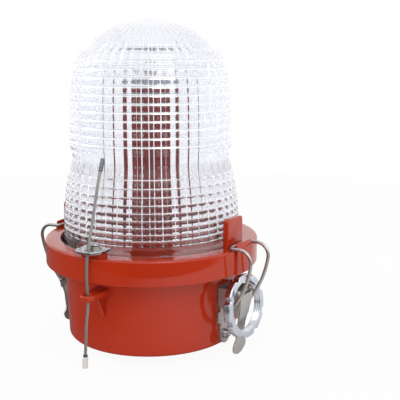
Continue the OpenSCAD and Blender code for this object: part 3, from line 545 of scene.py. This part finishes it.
def screw_head(radius, height, slot_half, slot_reach):
    """A pan head on a polar grid: a low dome that rolls over to an upright side, sunk by a cross whose
    arms are where the smaller of the two distances is less than half the slot."""
    r = np.r_[np.linspace(0, 0.9, 28), 0.95, 0.985, 1.0, 1.0, 1.0, 0.0]
    a = np.linspace(0, 2 * np.pi, 96, endpoint=False)
    x, y = radius * np.outer(r, np.cos(a)), radius * np.outer(r, np.sin(a))
    dome = height * np.r_[1 - 0.18 * (r[:28] / 0.9) ** 2, 0.78, 0.70, 0.58, 0.25, 0.0, 0.0][:, None]
    arm = (1 - stepped(np.minimum(np.abs(x), np.abs(y)), slot_half * 0.6, slot_half)) * (
        1 - stepped(np.maximum(np.abs(x), np.abs(y)), slot_reach * 0.8, slot_reach))
    flat = np.arange(len(r))[:, None] < 28
    return np.stack([x, y, dome - 0.55 * height * arm * flat], -1)


def bright_steel(nodes):
    """Polished stainless: pale, with fine rub marks."""
    rub = nodes.noise(1400, 2, 0.6, nodes.place((1, 0.2, 1)))
    return {
        "Base Color": nodes.between(nodes.noise(120, 3), (0.44, 0.43, 0.42), (0.60, 0.59, 0.58)),
        "Roughness": nodes.spread(rub, 0.08, 0.18),
        "Normal": nodes.bump(rub, 0.00002, 0.5),
    }


polished = finish("polished_steel", {"Metallic": 1.0}, bright_steel)
nose_u = rope_hole_u + 5
bracket_outline = fillet(
    [(bracket_u, -bracket_w / 2), (rope_hole_u, -bracket_w / 2), (nose_u, -bracket_w / 4),
     (nose_u, bracket_w / 4), (rope_hole_u, bracket_w / 2), (bracket_u, bracket_w / 2)],
    [1.0, 2.5, 1.6, 1.6, 2.5, 1.0])
bracket = holed(bracket_outline, (rope_hole_u, 0.0), rope_hole_r, bracket_low, bracket_low + bracket_t, 0.3)
piece("bracket_plate", "housing", "stainless", polished, skin(at_tether(bracket * mm), round_rows=True),
      replaces=["tether_bracket"])
head_spot = np.array([bracket_screw_u, 0, bracket_low + bracket_t + washer_t])
piece("bracket_screw_head", "housing", "stainless", polished,
      skin(at_tether((screw_head(head_r, head_h, 0.75, 2.4) + head_spot) * mm)), replaces=["bracket_screw"])
dress(polished, "bracket_washer")

# The two gaskets are black rubber rings, squeezed above and below the lens's foot. Only the lip of the
# upper one shows: a thin dark line between the glass and the collar's opening.
def black_rubber(nodes):
    """Black rubber with a patchy grey bloom and a fine grain."""
    bloom = nodes.noise(160, 4)
    return {
        "Base Color": nodes.between(bloom, (0.012, 0.012, 0.013), (0.035, 0.034, 0.036)),
        "Roughness": nodes.spread(bloom, 0.55, 0.75),
        "Normal": nodes.bump(nodes.noise(900, 2), 0.00003, 0.4),
    }


gasket_rubber = finish("gasket_rubber", {}, black_rubber)
gasket_t, lip_t, lip_r = 2.0, 0.5, collar_hole_r - 0.4
gasket_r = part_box("lens_gasket")[1].x / mm
lip_in, lip_top = lip_r - lip_t, collar_top - 0.6
gasket_outline = fillet([(lip_in, seat - gasket_t), (gasket_r, seat - gasket_t), (gasket_r, seat), (lip_r, seat),
                         (lip_r, lip_top), (lip_in, lip_top)], 0.15, 4)
piece("lens_gasket_ring", "housing", "gasket_rubber", gasket_rubber,
      skin(revolved(gasket_outline) * mm, round_rows=True), replaces=["lens_gasket"])
dress(gasket_rubber, "base_gasket")

# The lens is pressed clear glass. Outside, narrow grooves part it into level ribs in two bands with a
# plain waist between them; inside, upright grooves part it into flutes that run up into the crown.
foot_low, foot_high = (corner.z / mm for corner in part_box("glass_lens"))
foot_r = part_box("glass_lens")[1].x / mm
foot_t, glass_t, rib_depth = 3.8, 4.0, 1.2
neck_h, low_band_h, waist_h, high_band_h, shoulder_h = 15.0, 43.4, 15.6, 60.0, 8.0
low_ribs, high_ribs, flutes = 9, 11, 44
low_band_r, low_band_in, waist_r, high_band_in, shoulder_in, crown_in = 63.0, 4.4, 56.0, 5.2, 5.4, 9.9
crowning, groove_depth, groove_half = 0.62, 0.34, 0.075
foot_top = foot_low + foot_t
low_z = foot_low + neck_h
waist_z = low_z + low_band_h
high_z = waist_z + waist_h
shoulder_z = high_z + high_band_h
crown_z = shoulder_z + shoulder_h
crown_h = foot_high - crown_z


def groove(f, half):
    """Depth of a rounded groove at both ends of a step f from 0 to 1, as a share of its depth."""
    d = np.minimum(f, 1 - f)
    return np.exp(-(d / half) ** 2)


def low_crest(x):
    """The lower band's radius: it draws in with the height's share to the power 1.6."""
    return low_band_r - low_band_in * x ** 1.6


def high_crest(x):
    """The upper band's radius: upright at first, then drawn in to the shoulder by the power 5."""
    return low_band_r - high_band_in - shoulder_in * x ** 5


rib_stops = np.array([0, 0.03, 0.06, 0.09, 0.13, 0.18, 0.25, 0.34, 0.44,
                      0.56, 0.66, 0.75, 0.82, 0.87, 0.91, 0.94, 0.97])


def ribbed(z, height, count, crest, widen, edge):
    """Level ribs whose pitch may widen upwards: over each rib the radius is the band's crest less its
    crowning and less the grooves at its two edges. The third number marks the rib's upper edge, where the
    glass is made part metal: a painted mirror line that stands in for the light the real glass carries there."""
    f = np.tile(rib_stops, count)
    x = (np.repeat(np.arange(count), len(rib_stops)) + f) / count
    x = x * (1 - widen + widen * x)
    r = crest(x) - crowning * (2 * f - 1) ** 2 - groove_depth * groove(f, groove_half)
    mark = np.maximum(stepped(f, 1 - edge, 1 - 0.7 * edge), (f == 0) & (x > 0))
    return np.stack([r, z + height * x, mark], -1)


def plain(points):
    """Rows outside the ribbed bands, which have no groove."""
    points = np.asarray(points, float)
    return np.concatenate([points, np.zeros((len(points), 1))], -1)


bow = np.linspace(0, 1, 14)[:-1]
waist_side = low_crest(1.0) - 1.0 + bow * (high_crest(0.0) - low_crest(1.0))
waist = np.stack([waist_side - (waist_side - waist_r) * np.sin(np.pi * bow) ** 2, waist_z + waist_h * bow], -1)
rise = np.linspace(0, 1, 20)
top_r = high_crest(1.0)
crown_foot_r = top_r - crown_in
crown = np.stack([crown_foot_r * (1 - rise ** 1.5) ** (1 / 1.5), crown_z + crown_h * rise], -1)
ledge = [(top_r - 1.2, shoulder_z), (top_r - 1.0, shoulder_z + 1.6), (top_r - 1.8, shoulder_z + 3.6),
         (top_r - 3.4, shoulder_z + 5.4), (top_r - 5.6, shoulder_z + 6.5), (top_r - 8.2, shoulder_z + 7.2)]
bead_r = lip_in - 0.1
foot = [(foot_r, foot_low), (foot_r, foot_low + 0.6), (foot_r, foot_top - 0.6), (foot_r - 0.6, foot_top),
        (bead_r, foot_top), (bead_r, foot_top + 2.6), (bead_r - 0.15, foot_top + 3.6),
        (bead_r - 0.5, foot_top + 4.3), (low_band_r + 0.2, foot_top + 4.9), (low_band_r, foot_top + 5.8),
        (low_band_r, low_z - 3.0), (low_band_r - 0.1, low_z - 0.9)]
outside = np.concatenate([
    plain(foot), ribbed(low_z, low_band_h, low_ribs, low_crest, widen=0.2, edge=0.12), plain(waist),
    ribbed(high_z, high_band_h, high_ribs, high_crest, widen=0.0, edge=0.24), plain(ledge), plain(crown)])
inner_rise = np.linspace(1, 0, 16)
inner_crown = np.stack([(crown_foot_r - glass_t) * (1 - inner_rise ** 1.5) ** (1 / 1.5),
                        crown_z + (crown_h - glass_t) * inner_rise], -1)
inner_wall = through(np.array([
    (crown_foot_r - glass_t, crown_z), (top_r - rib_depth - glass_t, shoulder_z - 3.0),
    (high_crest(0.7) - rib_depth - glass_t, high_z + 0.7 * high_band_h),
    (high_crest(0.3) - rib_depth - glass_t, high_z + 0.3 * high_band_h),
    (high_crest(0.0) - rib_depth - glass_t, high_z + 2.0),
    (high_crest(0.0) - 1.1 - glass_t, waist_z + waist_h / 2),
    (low_crest(1.0) - rib_depth - glass_t, waist_z - 2.0),
    (low_crest(0.5) - rib_depth - glass_t, low_z + 0.5 * low_band_h),
    (low_band_r - rib_depth - glass_t, low_z), (low_band_r - rib_depth - glass_t, foot_low + 6.0),
    (low_band_r - rib_depth - glass_t, foot_low)]), 60)[1:]
inside = np.concatenate([inner_crown, inner_wall])
round_outside = np.linspace(0, 2 * np.pi, flutes * 4, endpoint=False)
flute_stops = np.array([0, 0.03, 0.06, 0.09, 0.12, 0.36, 0.60, 0.63, 0.66, 0.69, 0.72, 0.86])
flute_start, flute_depth = np.radians(-52.4), 0.75
flute_f = np.tile(flute_stops, flutes)
round_inside = flute_start + 2 * np.pi * (np.repeat(np.arange(flutes), len(flute_stops)) + flute_f) / flutes
outer_grid = revolved(outside[:, :2], len(round_outside))
fade = np.clip((inside[:, 1] - (low_z - 1)) / 2, 0, 1) * stepped(inside[:, 0], 16, 40)
cut = fade[:, None] * flute_depth * (stepped(flute_f, 0.0, 0.12) - stepped(flute_f, 0.60, 0.72))[None]
inner_r = inside[:, 0][:, None] + cut
inner_grid = np.stack([inner_r * np.cos(round_inside), inner_r * np.sin(round_inside),
                       np.broadcast_to(inside[:, 1][:, None], inner_r.shape)], -1)
outer_points, outer_faces = skin(outer_grid * mm)
inner_points, inner_faces = skin(inner_grid * mm)
rim = np.arange(len(round_outside))
last_ring = len(outer_points) + len(inner_points) - len(round_inside)
step = len(round_inside) // len(round_outside)
inner_rim = [last_ring + (rim * step + k) % len(round_inside) for k in range(step + 1)]
rim_faces = np.stack([np.roll(rim, -1), rim] + inner_rim, -1)
lens_skin = (np.concatenate([outer_points, inner_points]),
             outer_faces + [inner_faces[0] + len(outer_points), rim_faces])
# The marks give each rib's upper edge, where a mirror-bright line is painted on the glass.
lens_mirror_edge_marks = np.concatenate([np.repeat(outside[:, 2], len(round_outside)),
                             np.zeros(len(inner_points))])


def clear_glass(nodes):
    """Clear pressed glass, made part metal on the steep upper edge of each rib: a painted mirror highlight."""
    edge = nodes.node("Attribute", {"attribute_name": "mark"}, output="Fac")
    # Painted highlight: the marked edges turn part metal and mirror the bright tent.
    return {"Roughness": nodes.spread(nodes.noise(60, 2), 0.0, 0.02), "Metallic": edge * 0.75}


glass = finish("clear_glass", {"Base Color": (0.955, 0.968, 1.0, 1), "Transmission Weight": 1.0, "IOR": 1.47},
               clear_glass)
# Light goes to and fro many times in the ribs and flutes, and with fewer bounces it would end in black.
scene.cycles.max_bounces = scene.cycles.transmission_bounces = scene.cycles.glossy_bounces = 32
piece("lens_glass", "housing", "clear_glass", glass, lens_skin, replaces=["glass_lens"], sharp=180.0,
      marks=lens_mirror_edge_marks)

# The light column stands on the red deck: a pedestal, a hexagonal post with a circuit board on each
# face, rows of emitters with their small parts, a cap and a nut on the tie rod.
def solder_mask(deep, light):
    """A circuit board's lacquer, a little lighter and raised where the tracks run under it."""
    def varying(nodes):
        track = nodes.node("TexWave", {"wave_type": "BANDS", "bands_direction": "Z"},
                           {"Vector": nodes.place(), "Scale": 60.0, "Distortion": 6.0, "Detail": 2.0})
        return {
            "Base Color": nodes.between(nodes.spread(track, 0, 1), deep, light),
            "Roughness": nodes.spread(nodes.noise(300), 0.25, 0.40),
            "Normal": nodes.bump(track, 0.00003, 0.5),
        }
    return varying


def anodised(dark, light, low, high):
    """Drawn metal: fine streaks along the height between two colours and two roughnesses."""
    def varying(nodes):
        streak = nodes.noise(800, 2, 0.6, nodes.place((1, 1, 0.06)))
        return {
            "Base Color": nodes.between(streak, dark, light),
            "Roughness": nodes.spread(streak, low, high),
            "Normal": nodes.bump(streak, 0.00002, 0.5),
        }
    return varying


dress(red_paint, "led_pedestal")
dress(finish("post_aluminium", {"Metallic": 1.0},
             anodised((0.30, 0.31, 0.33), (0.40, 0.41, 0.43), 0.3, 0.45)), "led_post", "post_cap")
dress(finish("board_red", {"Specular IOR Level": 0.12},
             solder_mask((0.235, 0.012, 0.012), (0.315, 0.020, 0.018))), "led_boards")
dress(stainless, "deck_screws", "tie_rod", "tie_nut", "board_standoffs", "terminal_screws")
post_flat, board_t, emitter_w, emitter_h, emitter_rows = 15.5 * np.cos(np.pi / 6), 1.6, 3.5, 1.1, 9
board_low, board_high = (corner.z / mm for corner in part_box("led_boards"))


def emitter_grid():
    """One emitter: a square with rounded corners carried up its side, in over its rim and down into a
    shallow well, as (height off the board, sideways, up)."""
    rows = np.array([(0.0, 0.0), (0.0, 0.85), (0.10, 1.0), (0.42, 1.0), (0.50, 0.75), (0.55, 0.45),
                     (1.70, 0.45)])
    corners = np.array([(-1, -1), (1, -1), (1, 1), (-1, 1)]) * emitter_w / 2
    square = np.stack([fillet(corners * (1 - row / (emitter_w / 2)), 0.04, 3) for row in rows[:, 0]])
    high = np.broadcast_to((rows[:, 1] * emitter_h)[:, None, None], square.shape[:2] + (1,))
    return np.concatenate([high, square], -1)


def emitter_finish(nodes):
    """Cream frames round a dark green-brown die, told apart by the marks of their rows."""
    die = nodes.node("Attribute", {"attribute_name": "mark"}, output="Fac")
    return {"Base Color": nodes.between(die, (0.74, 0.68, 0.52), (0.045, 0.050, 0.028)),
            "Roughness": nodes.spread(nodes.noise(600), 0.30, 0.50)}


one = emitter_grid()
middles = board_low + (board_high - board_low) * (np.arange(emitter_rows) + 0.5) / emitter_rows
emitter_skins = [skin(about(one + [post_flat + board_t, 0, z], angle) * mm, cap=True)
                 for angle in np.radians(np.arange(30, 390, 60)) for z in middles]
die_rows = np.repeat([0, 0, 0, 0, 0.2, 1, 1], one.shape[1])
piece("led_packages", "housing", "emitter_cream", finish("emitter_cream", {}, emitter_finish), *emitter_skins,
      replaces=["led_emitters"], marks=np.tile(die_rows, len(emitter_skins)))

# Behind the deck, out of sight: the driver board with its parts, the terminal block, the ground screw
# and the leads. They keep the shapes of their solids.
dress(finish("board_green", {}, solder_mask((0.02, 0.11, 0.035), (0.04, 0.18, 0.06))), "driver_board")
dress(finish("part_dark", {}, dull_plastic((0.05, 0.045, 0.035), (0.10, 0.09, 0.07))), "driver_parts")
dress(finish("terminal_cream", {}, dull_plastic((0.72, 0.66, 0.48), (0.80, 0.76, 0.60))), "terminal_block")
dress(finish("ground_brass", {"Metallic": 1.0},
             anodised((0.36, 0.22, 0.05), (0.50, 0.34, 0.10), 0.25, 0.4)), "ground_screw")
dress(finish("lead_black", {}, dull_plastic((0.012, 0.012, 0.013), (0.03, 0.03, 0.032))), "driver_leads")
dress(finish("lead_red", {}, dull_plastic((0.40, 0.015, 0.015), (0.52, 0.03, 0.03))), "led_leads")

# Each latch is pressed stainless sheet: a lever with two cheeks, a tapering web and a dished thumb tab,
# turning on a pin in the base's ears.
pivot, hole = joint["right_lever_hinge"], joint["right_bail_hinge"]
lever_end_r, cheek_half, sheet_t = 4.2, 8.0, 1.2
lever_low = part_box("lever_right")[0].z / mm
lever_front = pivot[0] + lever_end_r
neck_u, neck_z = lever_front - 4.1, 21.5
tip_u = neck_u - 2.4
tab_z, dish_depth = 6.2, 0.8
tab_heights = np.array([0.0, 0.4, 1.3, 2.8, 4.5, 6.2, 7.8, 9.3, 10.8, 12.4, 14.5, 23.0, 40.0])
tab_halves = np.array([1.3, 3.1, 4.9, 6.8, 7.9, 8.3, 8.0, 7.0, 5.8, 5.0, 4.8, 4.8, 8.0])


def lever_skins(name):
    """The web and tab are one sheet whose middle line runs from the pivot's front down to the neck and
    out to the tip, and whose half width follows the line; the cheeks are plates with round ends."""
    line = through(np.array([
        (lever_front - 0.3, 0, pivot[2] + 0.6), (lever_front - 0.9, 0, pivot[2] - 6),
        (lever_front - 2.4, 0, pivot[2] - 14), (neck_u + 0.1, 0, neck_z + 2.0),
        (neck_u - 0.4, 0, neck_z - 2.5), (neck_u - 1.0, 0, neck_z - 7.5),
        (neck_u - 1.6, 0, neck_z - 13.0), (tip_u + 0.1, 0, lever_low + 0.1)]), 81)
    half = np.interp(line[:, 2], lever_low + tab_heights, tab_halves)
    section = fillet(np.array([(-1, -1), (1, -1), (1, 1), (-1, 1)]) * [1, sheet_t / 2], 0.055, 5)
    across = section[None, :, 0] * half[:, None]
    dish = dish_depth * np.clip(1 - np.abs(line[:, 2] - lever_low - tab_z) / tab_z, 0, 1)
    thick = section[None, :, 1] + dish[:, None] * (section[None, :, 0] ** 2 - 0.5)
    grid = swept(line, np.stack([thick, across], -1), (0, 1, 0))
    cheek = fillet(
        [(pivot[0] - lever_end_r, pivot[2] + lever_end_r), (pivot[0] - lever_end_r, pivot[2] - 2),
         (hole[0] - 3.4, hole[2]), (hole[0] - 1.5, hole[2] - 5), (lever_front - 2.9, hole[2] - 7.5),
         (lever_front - 0.3, pivot[2] - 4), (lever_front, pivot[2] + lever_end_r)],
        [4.1, 3, 3, 2.5, 0.6, 2, 4.1], 8)
    cheeks = [plate(cheek, low, low + sheet_t, 0.2, along_t) for low in (cheek_half - sheet_t, -cheek_half)]
    return [skin(at_latch(grid, name), cap=True)] + [skin(at_latch(c, name), cap=True) for c in cheeks]


for name in latch_turn:
    piece(f"latch_lever_{name}", f"{name}_lever", "stainless", stainless, *lever_skins(name),
          replaces=[f"lever_{name}"])
dress(stainless, "latch_base_right", "latch_base_left")
eyelet = [(0, 2.2), (1.2, 2.1), (1.8, 1.6), (2.05, 0.5), (2.6, 0.5), (2.8, 1.5), (3.1, 1.9), (3.4, 1.6),
          (3.6, 0.8), (3.6, 0), (0, 0)]
base_face, eyelet_z = flat_u + 1.6, (hub_h + 7, hub_h + 28)
piece("latch_eyelets", "housing", "stainless", polished,
      *[skin(at_latch(turned(eyelet, (base_face, 0, z), (1, 0, 0), 36), name))
        for name in latch_turn for z in eyelet_z],
      replaces=["latch_screws"])
dress(finish("pin_steel", {"Metallic": 1.0}, anodised((0.42, 0.42, 0.43), (0.55, 0.55, 0.56), 0.2, 0.35)),
      "pivot_pin_right", "pivot_pin_left")

# Each bail is one bent stainless wire: a bar that hooks over the collar's lug, two legs that bow out over
# the collar, and pins turned in through the lever's cheeks.
wire_r, corner_r, top_half, low_half = 1.2, 3.0, 12.6, 11.0
bar_u, bar_z = 72.45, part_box("bail_right")[1].z / mm - wire_r
bow_r, bow_end = 8.5, np.radians(8)
bow_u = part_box("bail_right")[1].x / mm - wire_r - bow_r


def bail_line():
    """Half of the wire: the bar, a quarter turn outwards, the bow's arc, then a leg that leaves the
    bow straight and curves in to the lever's hole, splayed evenly from the bar to the hole."""
    drop, pull = np.hypot(bar_z - hole[2], top_half - low_half), 18.0
    splay = np.arctan2(top_half - low_half, bar_z - hole[2])
    a = np.linspace(np.pi, np.pi / 2, 9)
    corner = np.stack([bar_u + corner_r * (1 + np.cos(a)), top_half - corner_r * (1 - np.sin(a)), 0 * a], -1)
    a = np.linspace(np.pi / 2, -bow_end, 25)
    arc = np.stack([bow_u + bow_r * np.cos(a), bow_r * (np.sin(a) - 1)], -1)
    pole = arc[-1] + pull * np.array([-np.sin(bow_end), -np.cos(bow_end)])
    x = np.linspace(0, 1, 33)[1:, None]
    leg = (1 - x) ** 2 * arc[-1] + 2 * x * (1 - x) * pole + x ** 2 * np.array([hole[0], -drop])
    flat = np.concatenate([arc, leg])
    legs = np.stack([flat[:, 0], top_half + flat[:, 1] * np.sin(splay), flat[:, 1] * np.cos(splay)], -1)
    bar = np.stack([np.full(6, bar_u), np.linspace(0, top_half - corner_r, 7)[:-1], np.zeros(6)], -1)
    return np.concatenate([bar, corner, legs]) + [0, 0, bar_z]


half_wire = bail_line()
wire_line = np.concatenate([half_wire[:0:-1] * [1, -1, 1], half_wire])
wire_grid = swept(wire_line, np.broadcast_to(ring(wire_r, 20), (len(wire_line), 20, 2)), (1, 1, 1))
wire_steel = finish("wire_steel", {"Metallic": 1.0}, drawn_steel((0.44, 0.42, 0.39), (0.58, 0.55, 0.51)))
half_turn = np.linspace(0, np.pi, 13)
knuckle = np.stack([np.sin(half_turn), -np.cos(half_turn)], -1) * (wire_r + 0.4)
pin_from = cheek_half - sheet_t - 1
pin_len = low_half - cheek_half + sheet_t + 1
pin_profile = [(0, 0), (wire_r - 0.25, 0), (wire_r, 0.25), (wire_r, pin_len), (0, pin_len)]
for name in latch_turn:
    wire_skins = [skin(at_latch(wire_grid, name), cap=True)]
    for s in (1, -1):
        wire_skins += [
            skin(at_latch(turned(knuckle, (hole[0], s * low_half, hole[2]), (0, s, 0), 24), name)),
            skin(at_latch(turned(pin_profile, (hole[0], s * pin_from, hole[2]), (0, s, 0), 24), name)),
        ]
    piece(f"latch_bail_{name}", f"{name}_bail", "wire_steel", wire_steel, *wire_skins,
          replaces=[f"bail_{name}"])

# The locknut is a bright zinc-plated steel ring for one-inch conduit, notched round its rim and threaded
# inside. It hangs over the right latch, its lower edge in front of the lever.
hang = joint["locknut_swing"]
nut_r, nut_bore_r, nut_t, notches, notch_r = 22.0, 16.5, 5.2, 8, 2.6
nut_lean, nut_turn = np.radians(6), np.radians(-3)
ear_half = 9.6
nut_drop = np.sqrt(nut_bore_r ** 2 - ear_half ** 2)
nut_sides, nut_edge, thread_pitch, thread_depth = 320, 0.9, 1.6, 0.75


def nut_grid():
    """Round the ring, the rim's radius dips by a circle at each notch; across it, the section goes out
    over the rim with rounded edges and back through a bore with a helical thread."""
    a = np.linspace(0, 2 * np.pi, nut_sides, endpoint=False)
    off = (a * notches / (2 * np.pi)) % 1 - 0.5
    away = np.abs(off) * 2 * np.pi / notches * nut_r
    dip = np.sqrt(np.clip(notch_r ** 2 - away ** 2, 0, None)) - notch_r * 0.35
    rim = nut_r - np.clip(dip, 0, None)
    edge = np.linspace(0, np.pi / 2, 5)
    w_out = np.r_[nut_edge * (1 - np.cos(edge)), nut_t - nut_edge * (1 - np.cos(edge[::-1]))]
    in_out = np.r_[nut_edge * (1 - np.sin(edge)), nut_edge * (1 - np.sin(edge[::-1]))]
    out = rim[None] - in_out[:, None]
    w_in = np.linspace(nut_t, 0, 33)
    thread = np.abs(((w_in[:, None] / thread_pitch + a[None] / (2 * np.pi)) % 1) * 2 - 1)
    fade = np.clip(np.minimum(w_in, nut_t - w_in) / 0.6, 0, 1)[:, None]
    bore = nut_bore_r + thread_depth * thread * fade + thread_depth * (1 - fade)
    r, w = np.concatenate([out, bore]), np.r_[w_out, w_in]
    x = np.broadcast_to(w[:, None], r.shape)
    y, z = r * np.sin(a), -nut_drop + r * np.cos(a)
    c, s = np.cos(nut_lean), np.sin(nut_lean)
    return about(np.stack([c * x - s * z, y, s * x + c * z], -1), nut_turn) + hang


def bright_zinc(nodes):
    """Plated steel: cool bright patches between a bluish grey and a paler grey, and fine scratches."""
    cloud = nodes.noise(140, 4)
    scratch = nodes.noise(1500, 2, 0.6, nodes.place((1, 0.15, 1)))
    return {
        "Base Color": nodes.between(nodes.spread(cloud, 0, 1), (0.56, 0.61, 0.70), (0.74, 0.77, 0.81)),
        "Roughness": nodes.spread(scratch, 0.14, 0.30),
        "Normal": nodes.bump(scratch + cloud, 0.00004, 0.6),
    }


piece("locknut_ring", "locknut", "zinc", finish("zinc", {"Metallic": 1.0}, bright_zinc),
      skin(nut_grid() * mm, round_rows=True), replaces=["conduit_locknut"])

# The lamp stands on a round white table in a bright tent, with a large panel at the upper right and a weaker
# one at the left. In reflections the tent is dimmer at the left and dark low in front; seen straight or
# through the glass it is white.
table_r, table_back = 0.55, 0.28
away = unit(np.array([-camera.location.x, -camera.location.y, 0.0]))
rightward = np.cross(away, [0, 0, 1])
table_edge = np.pad(ring(table_r, 128), ((0, 0), (0, 1))) + table_back * away
table = bpy.data.objects.new("table", bpy.data.meshes.new("table"))
table.data.from_pydata(table_edge.tolist(), [], [list(range(128))])
scene.collection.objects.link(table)


def seen(nodes):
    """1 for rays that see the backdrop straight or through glass, else 0; and 1 for gloss, else 0."""
    paths = nodes.node("LightPath").socket.node.outputs
    straight = Value(nodes, paths["Is Camera Ray"]) + Value(nodes, paths["Is Transmission Ray"])
    return straight.math("MINIMUM", straight, 1.0), Value(nodes, paths["Is Glossy Ray"])


def white_table(nodes):
    """White cloth that takes the lamp's shadow: mostly plain white when seen straight, grey at the left in
    reflections."""
    straight, gloss = seen(nodes)
    spot = nodes.node("TexCoord", output="Object")
    sideways = nodes.node("VectorMath", {"operation": "DOT_PRODUCT"}, {0: spot, 1: rightward}, 1)
    left = nodes.node("MapRange", {}, {"Value": sideways, "From Min": 0.06, "From Max": -0.10})
    cloth = Value(nodes, nodes.tree.nodes["Principled BSDF"].outputs[0])
    light = nodes.node("Emission", {}, {"Color": (1, 1, 1, 1), "Strength": 1.0})
    both = nodes.node("MixShader", {}, {0: straight * 0.94, 1: cloth, 2: light})
    nodes.feed(nodes.tree.nodes["Material Output"].inputs["Surface"], both)
    return {"Base Color": nodes.between(gloss * left, (0.93, 0.93, 0.93), (0.20, 0.19, 0.19))}


table.data.materials.append(finish("white_table", {"Roughness": 0.9, "Specular IOR Level": 0.0},
                                   white_table))
world = bpy.data.worlds.new("tent")
scene.world = world
world.use_nodes = True
tent = Nodes(world.node_tree)
straight, gloss = seen(tent)
heading = tent.node("TexCoord", output="Generated")
upward = tent.node("SeparateXYZ", {}, {0: heading}, 2)
forward = tent.node("VectorMath", {"operation": "DOT_PRODUCT"}, {0: heading, 1: -away}, 1)
below = tent.node("MapRange", {}, {"Value": upward, "From Min": 0.10, "From Max": -0.04})
front = tent.node("MapRange", {}, {"Value": forward, "From Min": 0.0, "From Max": 0.5})
sideways = tent.node("VectorMath", {"operation": "DOT_PRODUCT"}, {0: heading, 1: rightward}, 1)
left = tent.node("MapRange", {}, {"Value": sideways, "From Min": 0.35, "From Max": -0.35})
low = tent.node("MapRange", {}, {"Value": upward, "From Min": 0.45, "From Max": 0.15})
ahead = tent.node("MapRange", {}, {"Value": forward, "From Min": -0.6, "From Max": 0.0})
wall = (1.1 - low * left * ahead * 0.8) * (1 - below * front * 0.9)
backdrop = world.node_tree.nodes["Background"]
backdrop.inputs["Color"].default_value = (1, 1, 1, 1)
tent.feed(backdrop.inputs["Strength"], straight + (1 - straight) * (gloss * wall + (1 - gloss) * 0.75))


def panel(name, at, to, size, power):
    """A soft rectangular light at one point, aimed at another."""
    light = bpy.data.lights.new(name, "AREA")
    light.shape, light.size, light.size_y, light.energy = "RECTANGLE", *size, power
    made = bpy.data.objects.new(name, light)
    scene.collection.objects.link(made)
    made.location = at
    made.rotation_mode = "QUATERNION"
    made.rotation_quaternion = (Vector(to) - Vector(at)).to_track_quat("-Z", "Y")


panel("key_panel", (1.1, -0.7, 1.3), (0, 0, 0.1), (0.9, 0.9), 7)
panel("left_panel", (-1.2, -0.6, 0.8), (0, 0, 0.1), (0.6, 1.0), 2)
